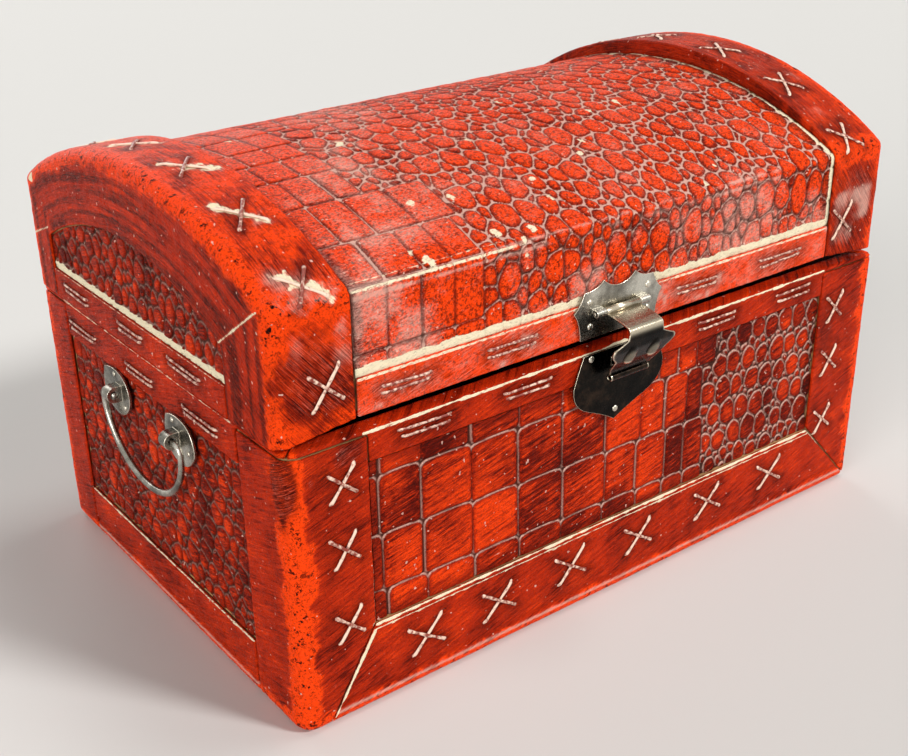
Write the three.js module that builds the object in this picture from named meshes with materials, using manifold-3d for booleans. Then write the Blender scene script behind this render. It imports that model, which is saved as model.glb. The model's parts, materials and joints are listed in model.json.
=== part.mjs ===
// A small dome top trunk: board carcass, leather panels framed by leather straps, a snap hasp
// at the front, two butt hinges at the back and a bail handle on each end.
// Millimetres, +Z up. The origin is the centre of the underside, X runs along the trunk and
// the front faces -Y.
import * as THREE from "three";
import { mergeVertices } from "three/addons/utils/BufferGeometryUtils.js";
import Module from "manifold-3d";

const wasm = await Module();
wasm.setup();

const fitGap = 0.3; // clearance between pieces that touch
const overrun = 5; // how far a cutter runs past what it cuts
const weldDistance = 1e-4;

const trunk = {
  width: 305,
  depth: 202,
  bodyHeight: 114.4,
  wornCornerRadius: 7, // the front left corner, rounder than the rest
  cornerRadius: 3.5,
  footRadius: 4.5, // bottom arris
  rimRadius: 1.2, // top arris of the body
  leastRadius: 0.2, // what is left of a round once it is offset inwards
};

const lid = {
  setBackFront: 2, // the lid's front stands behind the body's front
  overhangEnd: 1, // and each end reaches past the body's end
  seamGap: 1, // between rim and lid, at the ends and the back
  frontGap: 4.2, // the wider gap along the middle of the front
  wallHeight: 48.9, // from the lower edge to where the front would meet the dome
  domeRiseLeft: 20.8, // the dome's crown above its ridges, at each end
  domeRiseRight: 26,
  archRiseLeft: 26.2, // the padded arch straps stand higher than the dome between them
  archRiseRight: 31.4,
  ridgeRadius: 4,
  leftEndRadius: 5.5,
  rightEndRadius: 3.5,
};

const board = {
  wall: 6.4,
  floor: 6,
  dome: 4,
};

const leather = {
  strap: 1.7, // thickness of a folded strap
  recess: 0.9, // a panel's face lies this far below the straps
};

const lining = {
  thick: 0.8,
  rimDrop: 1.5, // the lining stops this far below an opening's edge
};

// Widths of the straps, measured on the face that they frame.
const strap = {
  cornerFrontLeft: 32.8,
  cornerFrontRight: 34.3,
  cornerEndFront: 32.4,
  cornerEndBack: 24,
  footFront: 36.3,
  footEnd: 24.8,
  rimFront: 12.4,
  rimEnd: 16,
  archLeft: 31.5,
  archRight: 33,
  lidEndFront: 33,
  lidEndBack: 21,
  lidRimFront: 17.7, // widths of the lid's rim straps, up from its lower edge
  lidRimEnd: 12.7,
  gableSpring: 26.4, // the gable panel's arch starts this far above the lid's lower edge
  gableRise: 18, // and rises by this much
  footMitreLeft: 11, // the left foot mitre meets the floor this far in from the corner
};

const latch = {
  centreX: -4.2,
  plate: 0.8,
  upperHalfWidth: 22.8,
  upperHeight: 21.9,
  upperLift: 0.8, // the upper plate's foot above the lid's front edge
  axisRise: 10.1, // the pivot above the upper plate's foot
  lowerHalfWidth: 23.6,
  lowerHeight: 31,
  lowerDrop: 0.6, // the lower plate's top lies this far below the rim
  lowerTipShift: -2.4, // the hand-cut tip leans to the left
  barrelRadius: 1.5,
  barrelHalfLength: 13.7,
  pinRadius: 0.6,
  pinProud: 0.6,
  knuckleHalf: 8.5, // half of the hasp's own knuckle
  haspThick: 0.8,
  haspReach: 12.8, // from the pivot out to the hasp's peak
  haspDrop: 25.5, // from the pivot down to the middle of its curled lip
  earHalfWidth: 16.3,
  earRound: 2,
  lipHalfWidth: 9.7,
  curlRadius: 1.6,
  curlStartDegrees: 150,
  curlEndDegrees: 60,
  catchHalfWidth: 5,
  catchReach: 1.9, // how far the catch stands off its plate
  catchHeight: 4,
};

const hinge = {
  inset: 67.5, // from the trunk's end to the middle of the hinge
  width: 25,
  leaf: 1,
  leafHeight: 12.5,
  barrelRadius: 2,
  pinRadius: 0.8,
  headRadius: 1.5,
  headThick: 0.7,
};

const handle = {
  centreY: 1,
  axisDrop: 22.9, // the pivot axis below the rim
  axisStandOff: 4.3, // from the trunk's end to the bail's pivot axis
  barRadius: 1.45,
  halfWidth: 33.5, // to the middle of a leg
  drop: 30, // from the pivot axis to the middle of the bar
  bend: 3.5,
  tipHalfWidth: 21.5, // where the turned-in ends stop
  eyeOffset: 25,
  eyeWidth: 5,
  eyeRadius: 3.3,
  roseOffset: 27.2,
  roseDrop: 1, // the rose's centre below the pivot axis
  roseHalfWidth: 12,
  roseHalfHeight: 9.8,
  roseThick: 1,
};

const steps = {
  cornerArc: 6,
  edgeArc: 5,
  ridgeArc: 4,
  domeArc: 28,
  outlineCurve: 6,
  barrel: 20,
  bailSides: 10,
  bailBend: 5,
  bailArc: 26,
  curl: 12,
};

// Worked out from the sizes above.
const halfX = trunk.width / 2;
const halfY = trunk.depth / 2;
const boardOffset = leather.strap + fitGap;
const wallDepth = boardOffset + board.wall; // outer face of a strap to inner face of a board
const domeBoardInner = boardOffset + board.dome;
const lidHalfX = halfX + lid.overhangEnd;
const lidFront = -halfY + lid.setBackFront;
const lidBack = halfY;
const lidCentreY = (lidFront + lidBack) / 2;
const lidHalfY = (lidBack - lidFront) / 2;
const lidBottom = trunk.bodyHeight + lid.seamGap;
const lidFrontEdge = trunk.bodyHeight + lid.frontGap;
const ridgeHeight = lidBottom + lid.wallHeight;
const lidTop = ridgeHeight + Math.max(lid.archRiseLeft, lid.archRiseRight);
const gableSpring = lidBottom + strap.gableSpring;
const gableFoot = lidBottom + strap.lidRimEnd;

const leftInner = -halfX + strap.cornerFrontLeft; // inner edges of the body's corner straps
const rightInner = halfX - strap.cornerFrontRight;
const frontInner = -halfY + strap.cornerEndFront;
const backInner = halfY - strap.cornerEndBack;
const archLeftInner = -lidHalfX + strap.archLeft;
const archRightInner = lidHalfX - strap.archRight;
const gableFront = lidFront + strap.lidEndFront;
const gableBack = lidBack - strap.lidEndBack;

const finish = {
  strapLeather: { color: 0xb0331a, roughness: 0.5, metalness: 0 },
  panelLeather: { color: 0x8c2a17, roughness: 0.45, metalness: 0 },
  paleBoard: { color: 0xa9845a, roughness: 0.8, metalness: 0 },
  liningCloth: { color: 0x2b1714, roughness: 0.95, metalness: 0 },
  pewterSteel: { color: 0x77736c, roughness: 0.45, metalness: 0.9 },
  bronzedSteel: { color: 0x2e2924, roughness: 0.5, metalness: 0.85 },
};

// A closed BufferGeometry as a solid that can be joined and cut.
function solidOf(geometry) {
  const bare = geometry.index ? geometry.toNonIndexed() : geometry.clone();
  bare.deleteAttribute("normal");
  bare.deleteAttribute("uv");
  const welded = mergeVertices(bare, weldDistance);
  return new wasm.Manifold(
    new wasm.Mesh({
      numProp: 3,
      vertProperties: new Float32Array(welded.attributes.position.array),
      triVerts: new Uint32Array(welded.index.array),
    }),
  );
}

function geometryOf(solid) {
  const mesh = solid.getMesh();
  const geometry = new THREE.BufferGeometry();
  geometry.setAttribute("position", new THREE.BufferAttribute(new Float32Array(mesh.vertProperties), 3));
  geometry.setIndex(new THREE.BufferAttribute(new Uint32Array(mesh.triVerts), 1));
  const faceted = geometry.toNonIndexed();
  faceted.computeVertexNormals();
  return faceted;
}

function join(first, ...others) {
  return others.reduce((sum, other) => sum.add(other), first);
}

function cut(first, ...others) {
  return others.reduce((rest, other) => rest.subtract(other), first);
}

function block(x0, x1, y0, y1, z0, z1) {
  const box = new THREE.BoxGeometry(x1 - x0, y1 - y0, z1 - z0);
  box.translate((x0 + x1) / 2, (y0 + y1) / 2, (z0 + z1) / 2);
  return solidOf(box);
}

function extruded(points, length, basis, origin) {
  const shape = new THREE.Shape(points.map(([u, v]) => new THREE.Vector2(u, v)));
  const geometry = new THREE.ExtrudeGeometry(shape, { depth: length, bevelEnabled: false });
  const matrix = new THREE.Matrix4().makeBasis(...basis).setPosition(origin);
  return solidOf(geometry.applyMatrix4(matrix));
}

const alongX = new THREE.Vector3(1, 0, 0);
const alongY = new THREE.Vector3(0, 1, 0);
const alongZ = new THREE.Vector3(0, 0, 1);

// Prisms with an outline in (y, z), in (x, z) and in (x, y).
function prismX(points, x0, x1) {
  return extruded(points, x1 - x0, [alongY, alongZ, alongX], new THREE.Vector3(x0, 0, 0));
}

function prismY(points, y0, y1) {
  const basis = [alongX, alongZ, alongY.clone().negate()];
  return extruded(points, y1 - y0, basis, new THREE.Vector3(0, y1, 0));
}

function prismZ(points, z0, z1) {
  return extruded(points, z1 - z0, [alongX, alongY, alongZ], new THREE.Vector3(0, 0, z0));
}

// A round bar along X.
function barX(x0, x1, y, z, radius) {
  const bar = new THREE.CylinderGeometry(radius, radius, x1 - x0, steps.barrel);
  bar.rotateZ(Math.PI / 2);
  bar.translate((x0 + x1) / 2, y, z);
  return solidOf(bar);
}

// A round bar along Y.
function barY(y0, y1, x, z, radius) {
  const bar = new THREE.CylinderGeometry(radius, radius, y1 - y0, steps.barrel);
  bar.translate(x, (y0 + y1) / 2, z);
  return solidOf(bar);
}

// A convex solid through loops of points that are stacked one after another.
function loft(loops) {
  const faces = [];
  const count = loops[0].length;
  const last = loops[loops.length - 1];
  for (let k = 1; k < count - 1; k++) {
    faces.push(loops[0][0], loops[0][k + 1], loops[0][k]);
    faces.push(last[0], last[k], last[k + 1]);
  }
  for (let i = 0; i + 1 < loops.length; i++) {
    for (let k = 0; k < count; k++) {
      const next = (k + 1) % count;
      faces.push(loops[i][k], loops[i][next], loops[i + 1][next]);
      faces.push(loops[i][k], loops[i + 1][next], loops[i + 1][k]);
    }
  }
  return solidOf(new THREE.BufferGeometry().setFromPoints(faces));
}

// The quarter round of an arris: how far in from the end, and how far the outline shrinks.
function arris(radius) {
  const places = [];
  for (let i = 0; i <= steps.edgeArc; i++) {
    const angle = (Math.PI / 2) * (i / steps.edgeArc);
    places.push({ along: radius * (1 - Math.cos(angle)), inset: radius * (1 - Math.sin(angle)) });
  }
  return places;
}

function planLoop(inset, z) {
  const corners = [
    [1, 1, trunk.cornerRadius],
    [-1, 1, trunk.cornerRadius],
    [-1, -1, trunk.wornCornerRadius],
    [1, -1, trunk.cornerRadius],
  ];
  const loop = [];
  corners.forEach(([sideX, sideY, fullRadius], quarter) => {
    const radius = Math.max(fullRadius - inset, trunk.leastRadius);
    const x = sideX * (halfX - inset - radius);
    const y = sideY * (halfY - inset - radius);
    for (let i = 0; i <= steps.cornerArc; i++) {
      const angle = (Math.PI / 2) * (quarter + i / steps.cornerArc);
      loop.push(new THREE.Vector3(x + radius * Math.cos(angle), y + radius * Math.sin(angle), z));
    }
  });
  return loop;
}

// The body's outer form, moved inwards by an offset.
function bodyForm(offset) {
  const footRadius = Math.max(trunk.footRadius - offset, trunk.leastRadius);
  const rimRadius = Math.max(trunk.rimRadius - offset, trunk.leastRadius);
  const top = trunk.bodyHeight - offset;
  const loops = arris(footRadius).map(({ along, inset }) => planLoop(offset + inset, offset + along));
  const rim = arris(rimRadius).map(({ along, inset }) => planLoop(offset + inset, top - along));
  return loft([...loops, ...rim.reverse()]);
}

function arcPoint(y, z, radius, angle) {
  return [y + radius * Math.cos(angle), z + radius * Math.sin(angle)];
}

// The circle of a dome that rises by a given height between the ridges.
function domeCircle(rise) {
  const radius = (lidHalfY ** 2 + rise ** 2) / (2 * rise);
  return { radius, centreZ: ridgeHeight + rise - radius };
}

function riseAt(x, [leftRise, rightRise]) {
  return THREE.MathUtils.mapLinear(x, -lidHalfX, lidHalfX, leftRise, rightRise);
}

const domeRises = [lid.domeRiseLeft, lid.domeRiseRight];

// The lid's section in (y, z): upright walls, rounded ridges and the shallow dome.
function lidSection(inset, bottom, rise) {
  const circle = domeCircle(rise);
  const half = lidHalfY - inset;
  const radius = circle.radius - inset;
  const round = Math.max(lid.ridgeRadius - inset, trunk.leastRadius);
  const roundY = half - round;
  const roundZ = circle.centreZ + Math.sqrt((radius - round) ** 2 - roundY ** 2);
  const meet = Math.atan2(roundZ - circle.centreZ, roundY);
  const points = [
    [lidCentreY - half, bottom],
    [lidCentreY + half, bottom],
  ];
  for (let i = 0; i <= steps.ridgeArc; i++) {
    points.push(arcPoint(lidCentreY + roundY, roundZ, round, (meet * i) / steps.ridgeArc));
  }
  for (let i = 1; i < steps.domeArc; i++) {
    const angle = meet + ((Math.PI - 2 * meet) * i) / steps.domeArc;
    points.push(arcPoint(lidCentreY, circle.centreZ, radius, angle));
  }
  for (let i = 0; i <= steps.ridgeArc; i++) {
    const angle = Math.PI - meet + (meet * i) / steps.ridgeArc;
    points.push(arcPoint(lidCentreY - roundY, roundZ, round, angle));
  }
  return points;
}

// The front wall's lower edge is raised between the corners.
function frontRelief(offset) {
  const low = lidBottom - overrun;
  const outline = [
    [-lidHalfX, low],
    [lidHalfX, low],
    [lidHalfX, lidBottom + offset],
    [archRightInner, lidFrontEdge + offset],
    [archLeftInner, lidFrontEdge + offset],
    [-lidHalfX, lidBottom + offset],
  ];
  return prismY(outline, lidFront - overrun, lidFront + wallDepth + offset);
}

// The lid's outer form, moved inwards by an offset. Its rise may change from left to right.
function lidForm(offset, rises) {
  const end = lidHalfX - offset;
  const loopAt = (inset, x) =>
    lidSection(offset + inset, lidBottom + offset, riseAt(x, rises)).map(
      ([y, z]) => new THREE.Vector3(x, y, z),
    );
  const round = (radius) => arris(Math.max(radius - offset, trunk.leastRadius));
  const near = round(lid.leftEndRadius).map(({ along, inset }) => loopAt(inset, -end + along));
  const far = round(lid.rightEndRadius).map(({ along, inset }) => loopAt(inset, end - along));
  return cut(loft([...near, ...far.reverse()]), frontRelief(offset));
}

// Everything under the dome once it is moved inwards, between two upright planes.
function underDome(offset, front, back, bottom, x0, x1) {
  const sectionAt = (x) => {
    const circle = domeCircle(riseAt(x, domeRises));
    const radius = circle.radius - offset;
    const from = Math.acos((back - lidCentreY) / radius);
    const to = Math.acos((front - lidCentreY) / radius);
    const section = [new THREE.Vector3(x, front, bottom), new THREE.Vector3(x, back, bottom)];
    for (let i = 0; i <= steps.domeArc; i++) {
      const angle = from + ((to - from) * i) / steps.domeArc;
      section.push(new THREE.Vector3(x, ...arcPoint(lidCentreY, circle.centreZ, radius, angle)));
    }
    return section;
  };
  return loft([sectionAt(x0), sectionAt(x1)]);
}

const bodyPanelForm = cut(bodyForm(leather.recess), bodyForm(leather.strap));
const bodyShell = cut(
  bodyForm(0),
  bodyForm(leather.strap),
  block(
    -halfX + wallDepth,
    halfX - wallDepth,
    -halfY + wallDepth,
    halfY - wallDepth,
    -overrun,
    trunk.bodyHeight + overrun,
  ),
);
const lidUnderStraps = lidForm(leather.strap, domeRises);
const lidPanelForm = cut(lidForm(leather.recess, domeRises), lidUnderStraps);

// The space that straps fill on the lid, for a form that has its own rise.
function lidShell(rises) {
  const inside = block(
    -lidHalfX + wallDepth,
    lidHalfX - wallDepth,
    lidFront + wallDepth,
    lidBack - wallDepth,
    lidBottom - overrun,
    gableSpring,
  );
  return cut(lidForm(0, rises), lidUnderStraps, inside);
}

const part = new THREE.Group();
part.name = "dome_top_trunk";

function add(name, solid, look) {
  const mesh = new THREE.Mesh(geometryOf(solid), new THREE.MeshStandardMaterial(look));
  mesh.name = name;
  part.add(mesh);
}

// The carcass: long boards run the full width and the end boards fit between them.
function addBodyBoards() {
  const form = bodyForm(boardOffset);
  const between = halfY - wallDepth - fitGap;
  const top = trunk.bodyHeight + overrun;
  const long = (y0, y1) => block(-halfX - overrun, halfX + overrun, y0, y1, -overrun, top);
  const short = (x0, x1) => block(x0, x1, -between, between, -overrun, top);
  const left = short(-halfX - overrun, -halfX + wallDepth);
  const right = short(halfX - wallDepth, halfX + overrun);
  add("body_front_board", form.intersect(long(-halfY - overrun, -halfY + wallDepth)), finish.paleBoard);
  add("body_back_board", form.intersect(long(halfY - wallDepth, halfY + overrun)), finish.paleBoard);
  add("body_left_board", form.intersect(left), finish.paleBoard);
  add("body_right_board", form.intersect(right), finish.paleBoard);
  const inside = halfX - wallDepth - fitGap;
  add("body_bottom_board", block(-inside, inside, -between, between, 0, board.floor), finish.paleBoard);
}

function addBodyLining() {
  const x = halfX - wallDepth - fitGap;
  const y = halfY - wallDepth - fitGap;
  const low = board.floor + fitGap;
  const top = trunk.bodyHeight - lining.rimDrop;
  const t = lining.thick;
  const tray = cut(
    block(-x, x, -y, y, low, top),
    block(-x + t, x - t, -y + t, y - t, low + t, top + overrun),
  );
  add("body_lining", tray, finish.liningCloth);
}

// The long sides' foot straps end in mitres that run down to the trunk's bottom corners.
function footOutline(gap) {
  const leftFoot = -halfX + strap.footMitreLeft;
  return [
    [leftFoot - gap, -overrun],
    [halfX, -overrun],
    [halfX, gap],
    [rightInner + gap, strap.footFront + gap],
    [leftInner - gap, strap.footFront + gap],
    [leftFoot - gap, 0],
  ];
}

function addBodyStraps() {
  const rimUnder = trunk.bodyHeight - leather.strap; // underside of the fold over the rim
  const footCutters = [
    prismY(footOutline(fitGap), -halfY - overrun, -halfY + wallDepth + fitGap),
    prismY(footOutline(fitGap), halfY - wallDepth - fitGap, halfY + overrun),
  ];
  const corners = [
    ["front_left", -halfX - overrun, leftInner, -halfY - overrun, frontInner],
    ["front_right", rightInner, halfX + overrun, -halfY - overrun, frontInner],
    ["back_left", -halfX - overrun, leftInner, backInner, halfY + overrun],
    ["back_right", rightInner, halfX + overrun, backInner, halfY + overrun],
  ];
  for (const [place, x0, x1, y0, y1] of corners) {
    const region = block(x0, x1, y0, y1, -overrun, rimUnder - fitGap);
    add(`${place}_corner_strap`, cut(bodyShell.intersect(region), ...footCutters), finish.strapLeather);
  }

  const longFoot = (y0, y1) => bodyShell.intersect(prismY(footOutline(0), y0, y1));
  add("front_foot_strap", longFoot(-halfY - overrun, -halfY + wallDepth), finish.strapLeather);
  add("back_foot_strap", longFoot(halfY - wallDepth, halfY + overrun), finish.strapLeather);
  const endFoot = (x0, x1) =>
    bodyShell.intersect(block(x0, x1, frontInner + fitGap, backInner - fitGap, -overrun, strap.footEnd));
  add("left_foot_strap", endFoot(-halfX - overrun, -halfX + wallDepth), finish.strapLeather);
  add("right_foot_strap", endFoot(halfX - wallDepth, halfX + overrun), finish.strapLeather);

  addRimStraps(rimUnder);
}

// A rim strap covers the upper border of a wall and folds over its top edge, where the four
// straps meet in mitres.
function addRimStraps(rimUnder) {
  const top = trunk.bodyHeight + overrun;
  const reach = wallDepth + fitGap;
  const foldLong = (side) => [
    [side * (-halfX + fitGap - overrun), side * (-halfY - overrun)],
    [side * (halfX - fitGap + overrun), side * (-halfY - overrun)],
    [side * (halfX - fitGap - reach), side * (-halfY + reach)],
    [side * (-halfX + fitGap + reach), side * (-halfY + reach)],
  ];
  const foldShort = (side) => [
    [side * (-halfX - overrun), side * (halfY - fitGap + overrun)],
    [side * (-halfX - overrun), side * (-halfY + fitGap - overrun)],
    [side * (-halfX + reach), side * (-halfY + fitGap + reach)],
    [side * (-halfX + reach), side * (halfY - fitGap - reach)],
  ];
  const longLow = trunk.bodyHeight - strap.rimFront;
  const endLow = trunk.bodyHeight - strap.rimEnd;
  const long = (y0, y1, side) =>
    bodyShell.intersect(
      join(
        block(leftInner + fitGap, rightInner - fitGap, y0, y1, longLow, top),
        prismZ(foldLong(side), rimUnder, top),
      ),
    );
  const short = (x0, x1, side) =>
    bodyShell.intersect(
      join(
        block(x0, x1, frontInner + fitGap, backInner - fitGap, endLow, top),
        prismZ(foldShort(side), rimUnder, top),
      ),
    );
  add("front_rim_strap", long(-halfY - overrun, -halfY + wallDepth, 1), finish.strapLeather);
  add("back_rim_strap", long(halfY - wallDepth, halfY + overrun, -1), finish.strapLeather);
  add("left_rim_strap", short(-halfX - overrun, -halfX + wallDepth, 1), finish.strapLeather);
  add("right_rim_strap", short(halfX - wallDepth, halfX + overrun, -1), finish.strapLeather);
}

function addBodyPanels() {
  const x0 = leftInner + fitGap;
  const x1 = rightInner - fitGap;
  const y0 = frontInner + fitGap;
  const y1 = backInner - fitGap;
  const longLow = strap.footFront + fitGap;
  const longHigh = trunk.bodyHeight - strap.rimFront - fitGap;
  const endLow = strap.footEnd + fitGap;
  const endHigh = trunk.bodyHeight - strap.rimEnd - fitGap;
  const panels = [
    ["front_panel", block(x0, x1, -halfY - overrun, -halfY + wallDepth, longLow, longHigh)],
    ["back_panel", block(x0, x1, halfY - wallDepth, halfY + overrun, longLow, longHigh)],
    ["left_panel", block(-halfX - overrun, -halfX + wallDepth, y0, y1, endLow, endHigh)],
    ["right_panel", block(halfX - wallDepth, halfX + overrun, y0, y1, endLow, endHigh)],
  ];
  for (const [name, region] of panels) {
    add(name, bodyPanelForm.intersect(region), finish.panelLeather);
  }
}

// The lid's carcass: rails front and back, arched gables between them, and a bent dome board
// that lies on all four.
function addLidBoards() {
  const form = lidForm(boardOffset, domeRises);
  const low = lidBottom - overrun;
  const reach = lidHalfX + overrun;
  const seat = domeBoardInner + fitGap;
  const under = underDome(seat, lidFront, lidBack, low, -reach, reach);
  const over = underDome(domeBoardInner, lidFront, lidBack, low, -reach, reach);
  const carried = form.intersect(under);
  const top = lidTop + overrun;
  const y0 = lidFront + wallDepth + fitGap;
  const y1 = lidBack - wallDepth - fitGap;
  const rail = (from, to) => carried.intersect(block(-reach, reach, from, to, low, top));
  const gable = (from, to) => carried.intersect(block(from, to, y0, y1, low, top));
  add("lid_front_rail", rail(lidFront, lidFront + wallDepth), finish.paleBoard);
  add("lid_back_rail", rail(lidBack - wallDepth, lidBack), finish.paleBoard);
  add("lid_left_gable", gable(-reach, -lidHalfX + wallDepth), finish.paleBoard);
  add("lid_right_gable", gable(lidHalfX - wallDepth, reach), finish.paleBoard);
  const domeTop = form.intersect(block(-reach, reach, lidFront, lidBack, gableSpring, top));
  add("lid_dome_board", cut(domeTop, over), finish.paleBoard);
}

function addLidLining() {
  const side = wallDepth + fitGap;
  const t = lining.thick;
  const low = lidFrontEdge + lining.rimDrop;
  const x = lidHalfX - side;
  const hollow = (more, bottom) =>
    underDome(
      domeBoardInner + fitGap + more,
      lidFront + side + more,
      lidBack - side - more,
      bottom,
      -x + more,
      x - more,
    );
  add("lid_lining", cut(hollow(0, low), hollow(t, low - overrun)), finish.liningCloth);
}

// The gable panel's outline in (y, z), grown by a gap.
function gableOutline(gap) {
  const half = (gableBack - gableFront) / 2;
  const middle = (gableFront + gableBack) / 2;
  const radius = (half ** 2 + strap.gableRise ** 2) / (2 * strap.gableRise);
  const centre = gableSpring + strap.gableRise - radius;
  const grown = radius + gap;
  const end = Math.acos((half + gap) / grown);
  const points = [
    [gableFront - gap, gableFoot + fitGap - gap],
    [gableBack + gap, gableFoot + fitGap - gap],
  ];
  for (let i = 0; i <= steps.domeArc; i++) {
    points.push(arcPoint(middle, centre, grown, end + ((Math.PI - 2 * end) * i) / steps.domeArc));
  }
  return points;
}

function addLidStraps() {
  const low = lidBottom - overrun;
  const top = lidTop + overrun;
  const y0 = lidFront - overrun;
  const y1 = lidBack + overrun;
  const rimShell = lidShell(domeRises);
  const { archRiseLeft, archRiseRight } = lid;
  const ends = [
    ["left", archRiseLeft, -lidHalfX - overrun, archLeftInner, -lidHalfX - overrun, -lidHalfX + wallDepth],
    ["right", archRiseRight, archRightInner, lidHalfX + overrun, lidHalfX - wallDepth, lidHalfX + overrun],
  ];
  for (const [side, rise, x0, x1, wall0, wall1] of ends) {
    const opening = join(
      prismX(gableOutline(fitGap), wall0, wall1),
      block(wall0, wall1, gableFront - fitGap, gableBack + fitGap, low, gableFoot + fitGap),
    );
    const band = lidShell([rise, rise]).intersect(block(x0, x1, y0, y1, low, top));
    add(`${side}_arch_strap`, cut(band, opening), finish.strapLeather);
    const rim = block(wall0, wall1, gableFront, gableBack, low, gableFoot);
    add(`lid_${side}_rim_strap`, rimShell.intersect(rim), finish.strapLeather);
  }
  const x0 = archLeftInner + fitGap;
  const x1 = archRightInner - fitGap;
  const rimTop = lidBottom + strap.lidRimFront;
  const longRim = (from, to) => rimShell.intersect(block(x0, x1, from, to, low, rimTop));
  add("lid_front_rim_strap", longRim(y0, lidFront + wallDepth), finish.strapLeather);
  add("lid_back_rim_strap", longRim(lidBack - wallDepth, y1), finish.strapLeather);
}

function addLidPanels() {
  const bottom = lidBottom + strap.lidRimFront + fitGap;
  const x0 = archLeftInner + fitGap;
  const x1 = archRightInner - fitGap;
  const region = block(x0, x1, lidFront - overrun, lidBack + overrun, bottom, lidTop + overrun);
  add("dome_panel", lidPanelForm.intersect(region), finish.panelLeather);
  const outline = gableOutline(0);
  const gables = [
    ["left_gable_panel", -lidHalfX - overrun, -lidHalfX + wallDepth],
    ["right_gable_panel", lidHalfX - wallDepth, lidHalfX + overrun],
  ];
  for (const [name, from, to] of gables) {
    add(name, lidPanelForm.intersect(prismX(outline, from, to)), finish.panelLeather);
  }
}

// A symmetric outline: the right half as a start and quadratic curves, each row a control
// point and an end point in shares of the half width and the height, then mirrored.
function mirroredOutline(start, rows, half, height, centreX, baseZ) {
  const path = new THREE.Path();
  path.moveTo(start[0] * half, start[1] * height);
  for (const [cu, cv, eu, ev] of rows) {
    path.quadraticCurveTo(cu * half, cv * height, eu * half, ev * height);
  }
  const right = path.getPoints(steps.outlineCurve);
  const left = right.slice(0, -1).reverse();
  return [
    ...right.map((p) => [centreX + p.x, baseZ + p.y]),
    ...left.map((p) => [centreX - p.x, baseZ + p.y]),
  ];
}

// The latch: a scalloped plate on the lid, a snap hasp that turns on it, and a shield on the
// body with the catch that the hasp springs over.
const upperPlateFoot = lidFrontEdge + latch.upperLift;
const upperPlateBack = lidFront - fitGap;
const upperPlateFront = upperPlateBack - latch.plate;
const latchAxisY = upperPlateFront - fitGap - latch.barrelRadius;
const latchAxisZ = upperPlateFoot + latch.axisRise;
const latchBore = latch.pinRadius + fitGap;
const lowerPlateBack = -halfY - fitGap;
const lowerPlateFront = lowerPlateBack - latch.plate;
const catchNose = lowerPlateFront - latch.catchReach;
const curlY = catchNose - fitGap - latch.haspThick / 2 - latch.curlRadius;
const curlZ = latchAxisZ - latch.haspDrop;
const peakY = latchAxisY - latch.haspReach;

const upperPlateStartShares = [0.85, 0];
const upperPlateRowsShares = [
  [0.86, 0.36, 1, 0.53],
  [0.85, 0.64, 0.775, 0.86],
  [0.5, 0.85, 0.355, 1],
  [0.2, 0.84, 0, 0.84],
];

const lowerPlateStartShares = [0.8, 0];
const lowerPlateRowsShares = [
  [0.9, -0.16, 1, -0.4],
  [1.02, -0.66, 0.62, -0.78],
  [0.24, -0.89, 0, -1],
];

function addUpperPlate() {
  const { centreX, knuckleHalf, barrelHalfLength, barrelRadius, pinRadius } = latch;
  const outline = mirroredOutline(
    upperPlateStartShares,
    upperPlateRowsShares,
    latch.upperHalfWidth,
    latch.upperHeight,
    centreX,
    upperPlateFoot,
  );
  const plate = prismY(outline, upperPlateFront, upperPlateBack);
  const inPlate = upperPlateFront + latch.plate / 2;
  const knuckle = (x0, x1) =>
    join(
      barX(x0, x1, latchAxisY, latchAxisZ, barrelRadius),
      block(x0, x1, latchAxisY, inPlate, latchAxisZ, latchAxisZ + barrelRadius),
    );
  const inner = knuckleHalf + fitGap;
  const whole = join(
    plate,
    knuckle(centreX - barrelHalfLength, centreX - inner),
    knuckle(centreX + inner, centreX + barrelHalfLength),
  );
  const barAlong = (reach, radius) =>
    barX(centreX - reach, centreX + reach, latchAxisY, latchAxisZ, radius);
  const bore = barAlong(barrelHalfLength + overrun, latchBore);
  add("latch_upper_plate", cut(whole, bore), finish.pewterSteel);
  add("latch_pin", barAlong(barrelHalfLength + latch.pinProud, pinRadius), finish.pewterSteel);
}

// The hasp's bent section, from its knuckle out over the seam, back in towards the shield and
// round the curled lip. A place is a share of the way out and a share of the drop: the shelf
// runs from the pivot to the peak, and the face from the curl's depth to the peak.
const haspShelfShares = [
  [0.12, 0.02],
  [0.37, 0.04],
  [0.7, 0.085],
  [0.91, 0.14],
];
const haspFaceShares = [
  [1, 0.23],
  [0.98, 0.35],
  [0.9, 0.47],
  [0.63, 0.65],
  [0.22, 0.82],
  [0.03, 0.92],
];
const earShare = 0.47; // the ears' height, as a share of the drop
const flareShare = 0.25;
const waistShare = 0.65;

function haspCentreLine() {
  const inBarrel = latch.barrelRadius / 2;
  const line = [new THREE.Vector2(latchAxisY - inBarrel, latchAxisZ - inBarrel)];
  const placeAt = (from, to, out, down) =>
    new THREE.Vector2(THREE.MathUtils.lerp(from, to, out), latchAxisZ - down * latch.haspDrop);
  for (const [out, down] of haspShelfShares) {
    line.push(placeAt(latchAxisY, peakY, out, down));
  }
  for (const [out, down] of haspFaceShares) {
    line.push(placeAt(curlY, peakY, out, down));
  }
  const start = THREE.MathUtils.degToRad(latch.curlStartDegrees);
  const sweep = THREE.MathUtils.degToRad(360 + latch.curlEndDegrees - latch.curlStartDegrees);
  for (let i = 0; i <= steps.curl; i++) {
    const [out, up] = arcPoint(0, 0, latch.curlRadius, start + (sweep * i) / steps.curl);
    line.push(new THREE.Vector2(curlY - out, curlZ + up));
  }
  return line;
}

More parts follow.
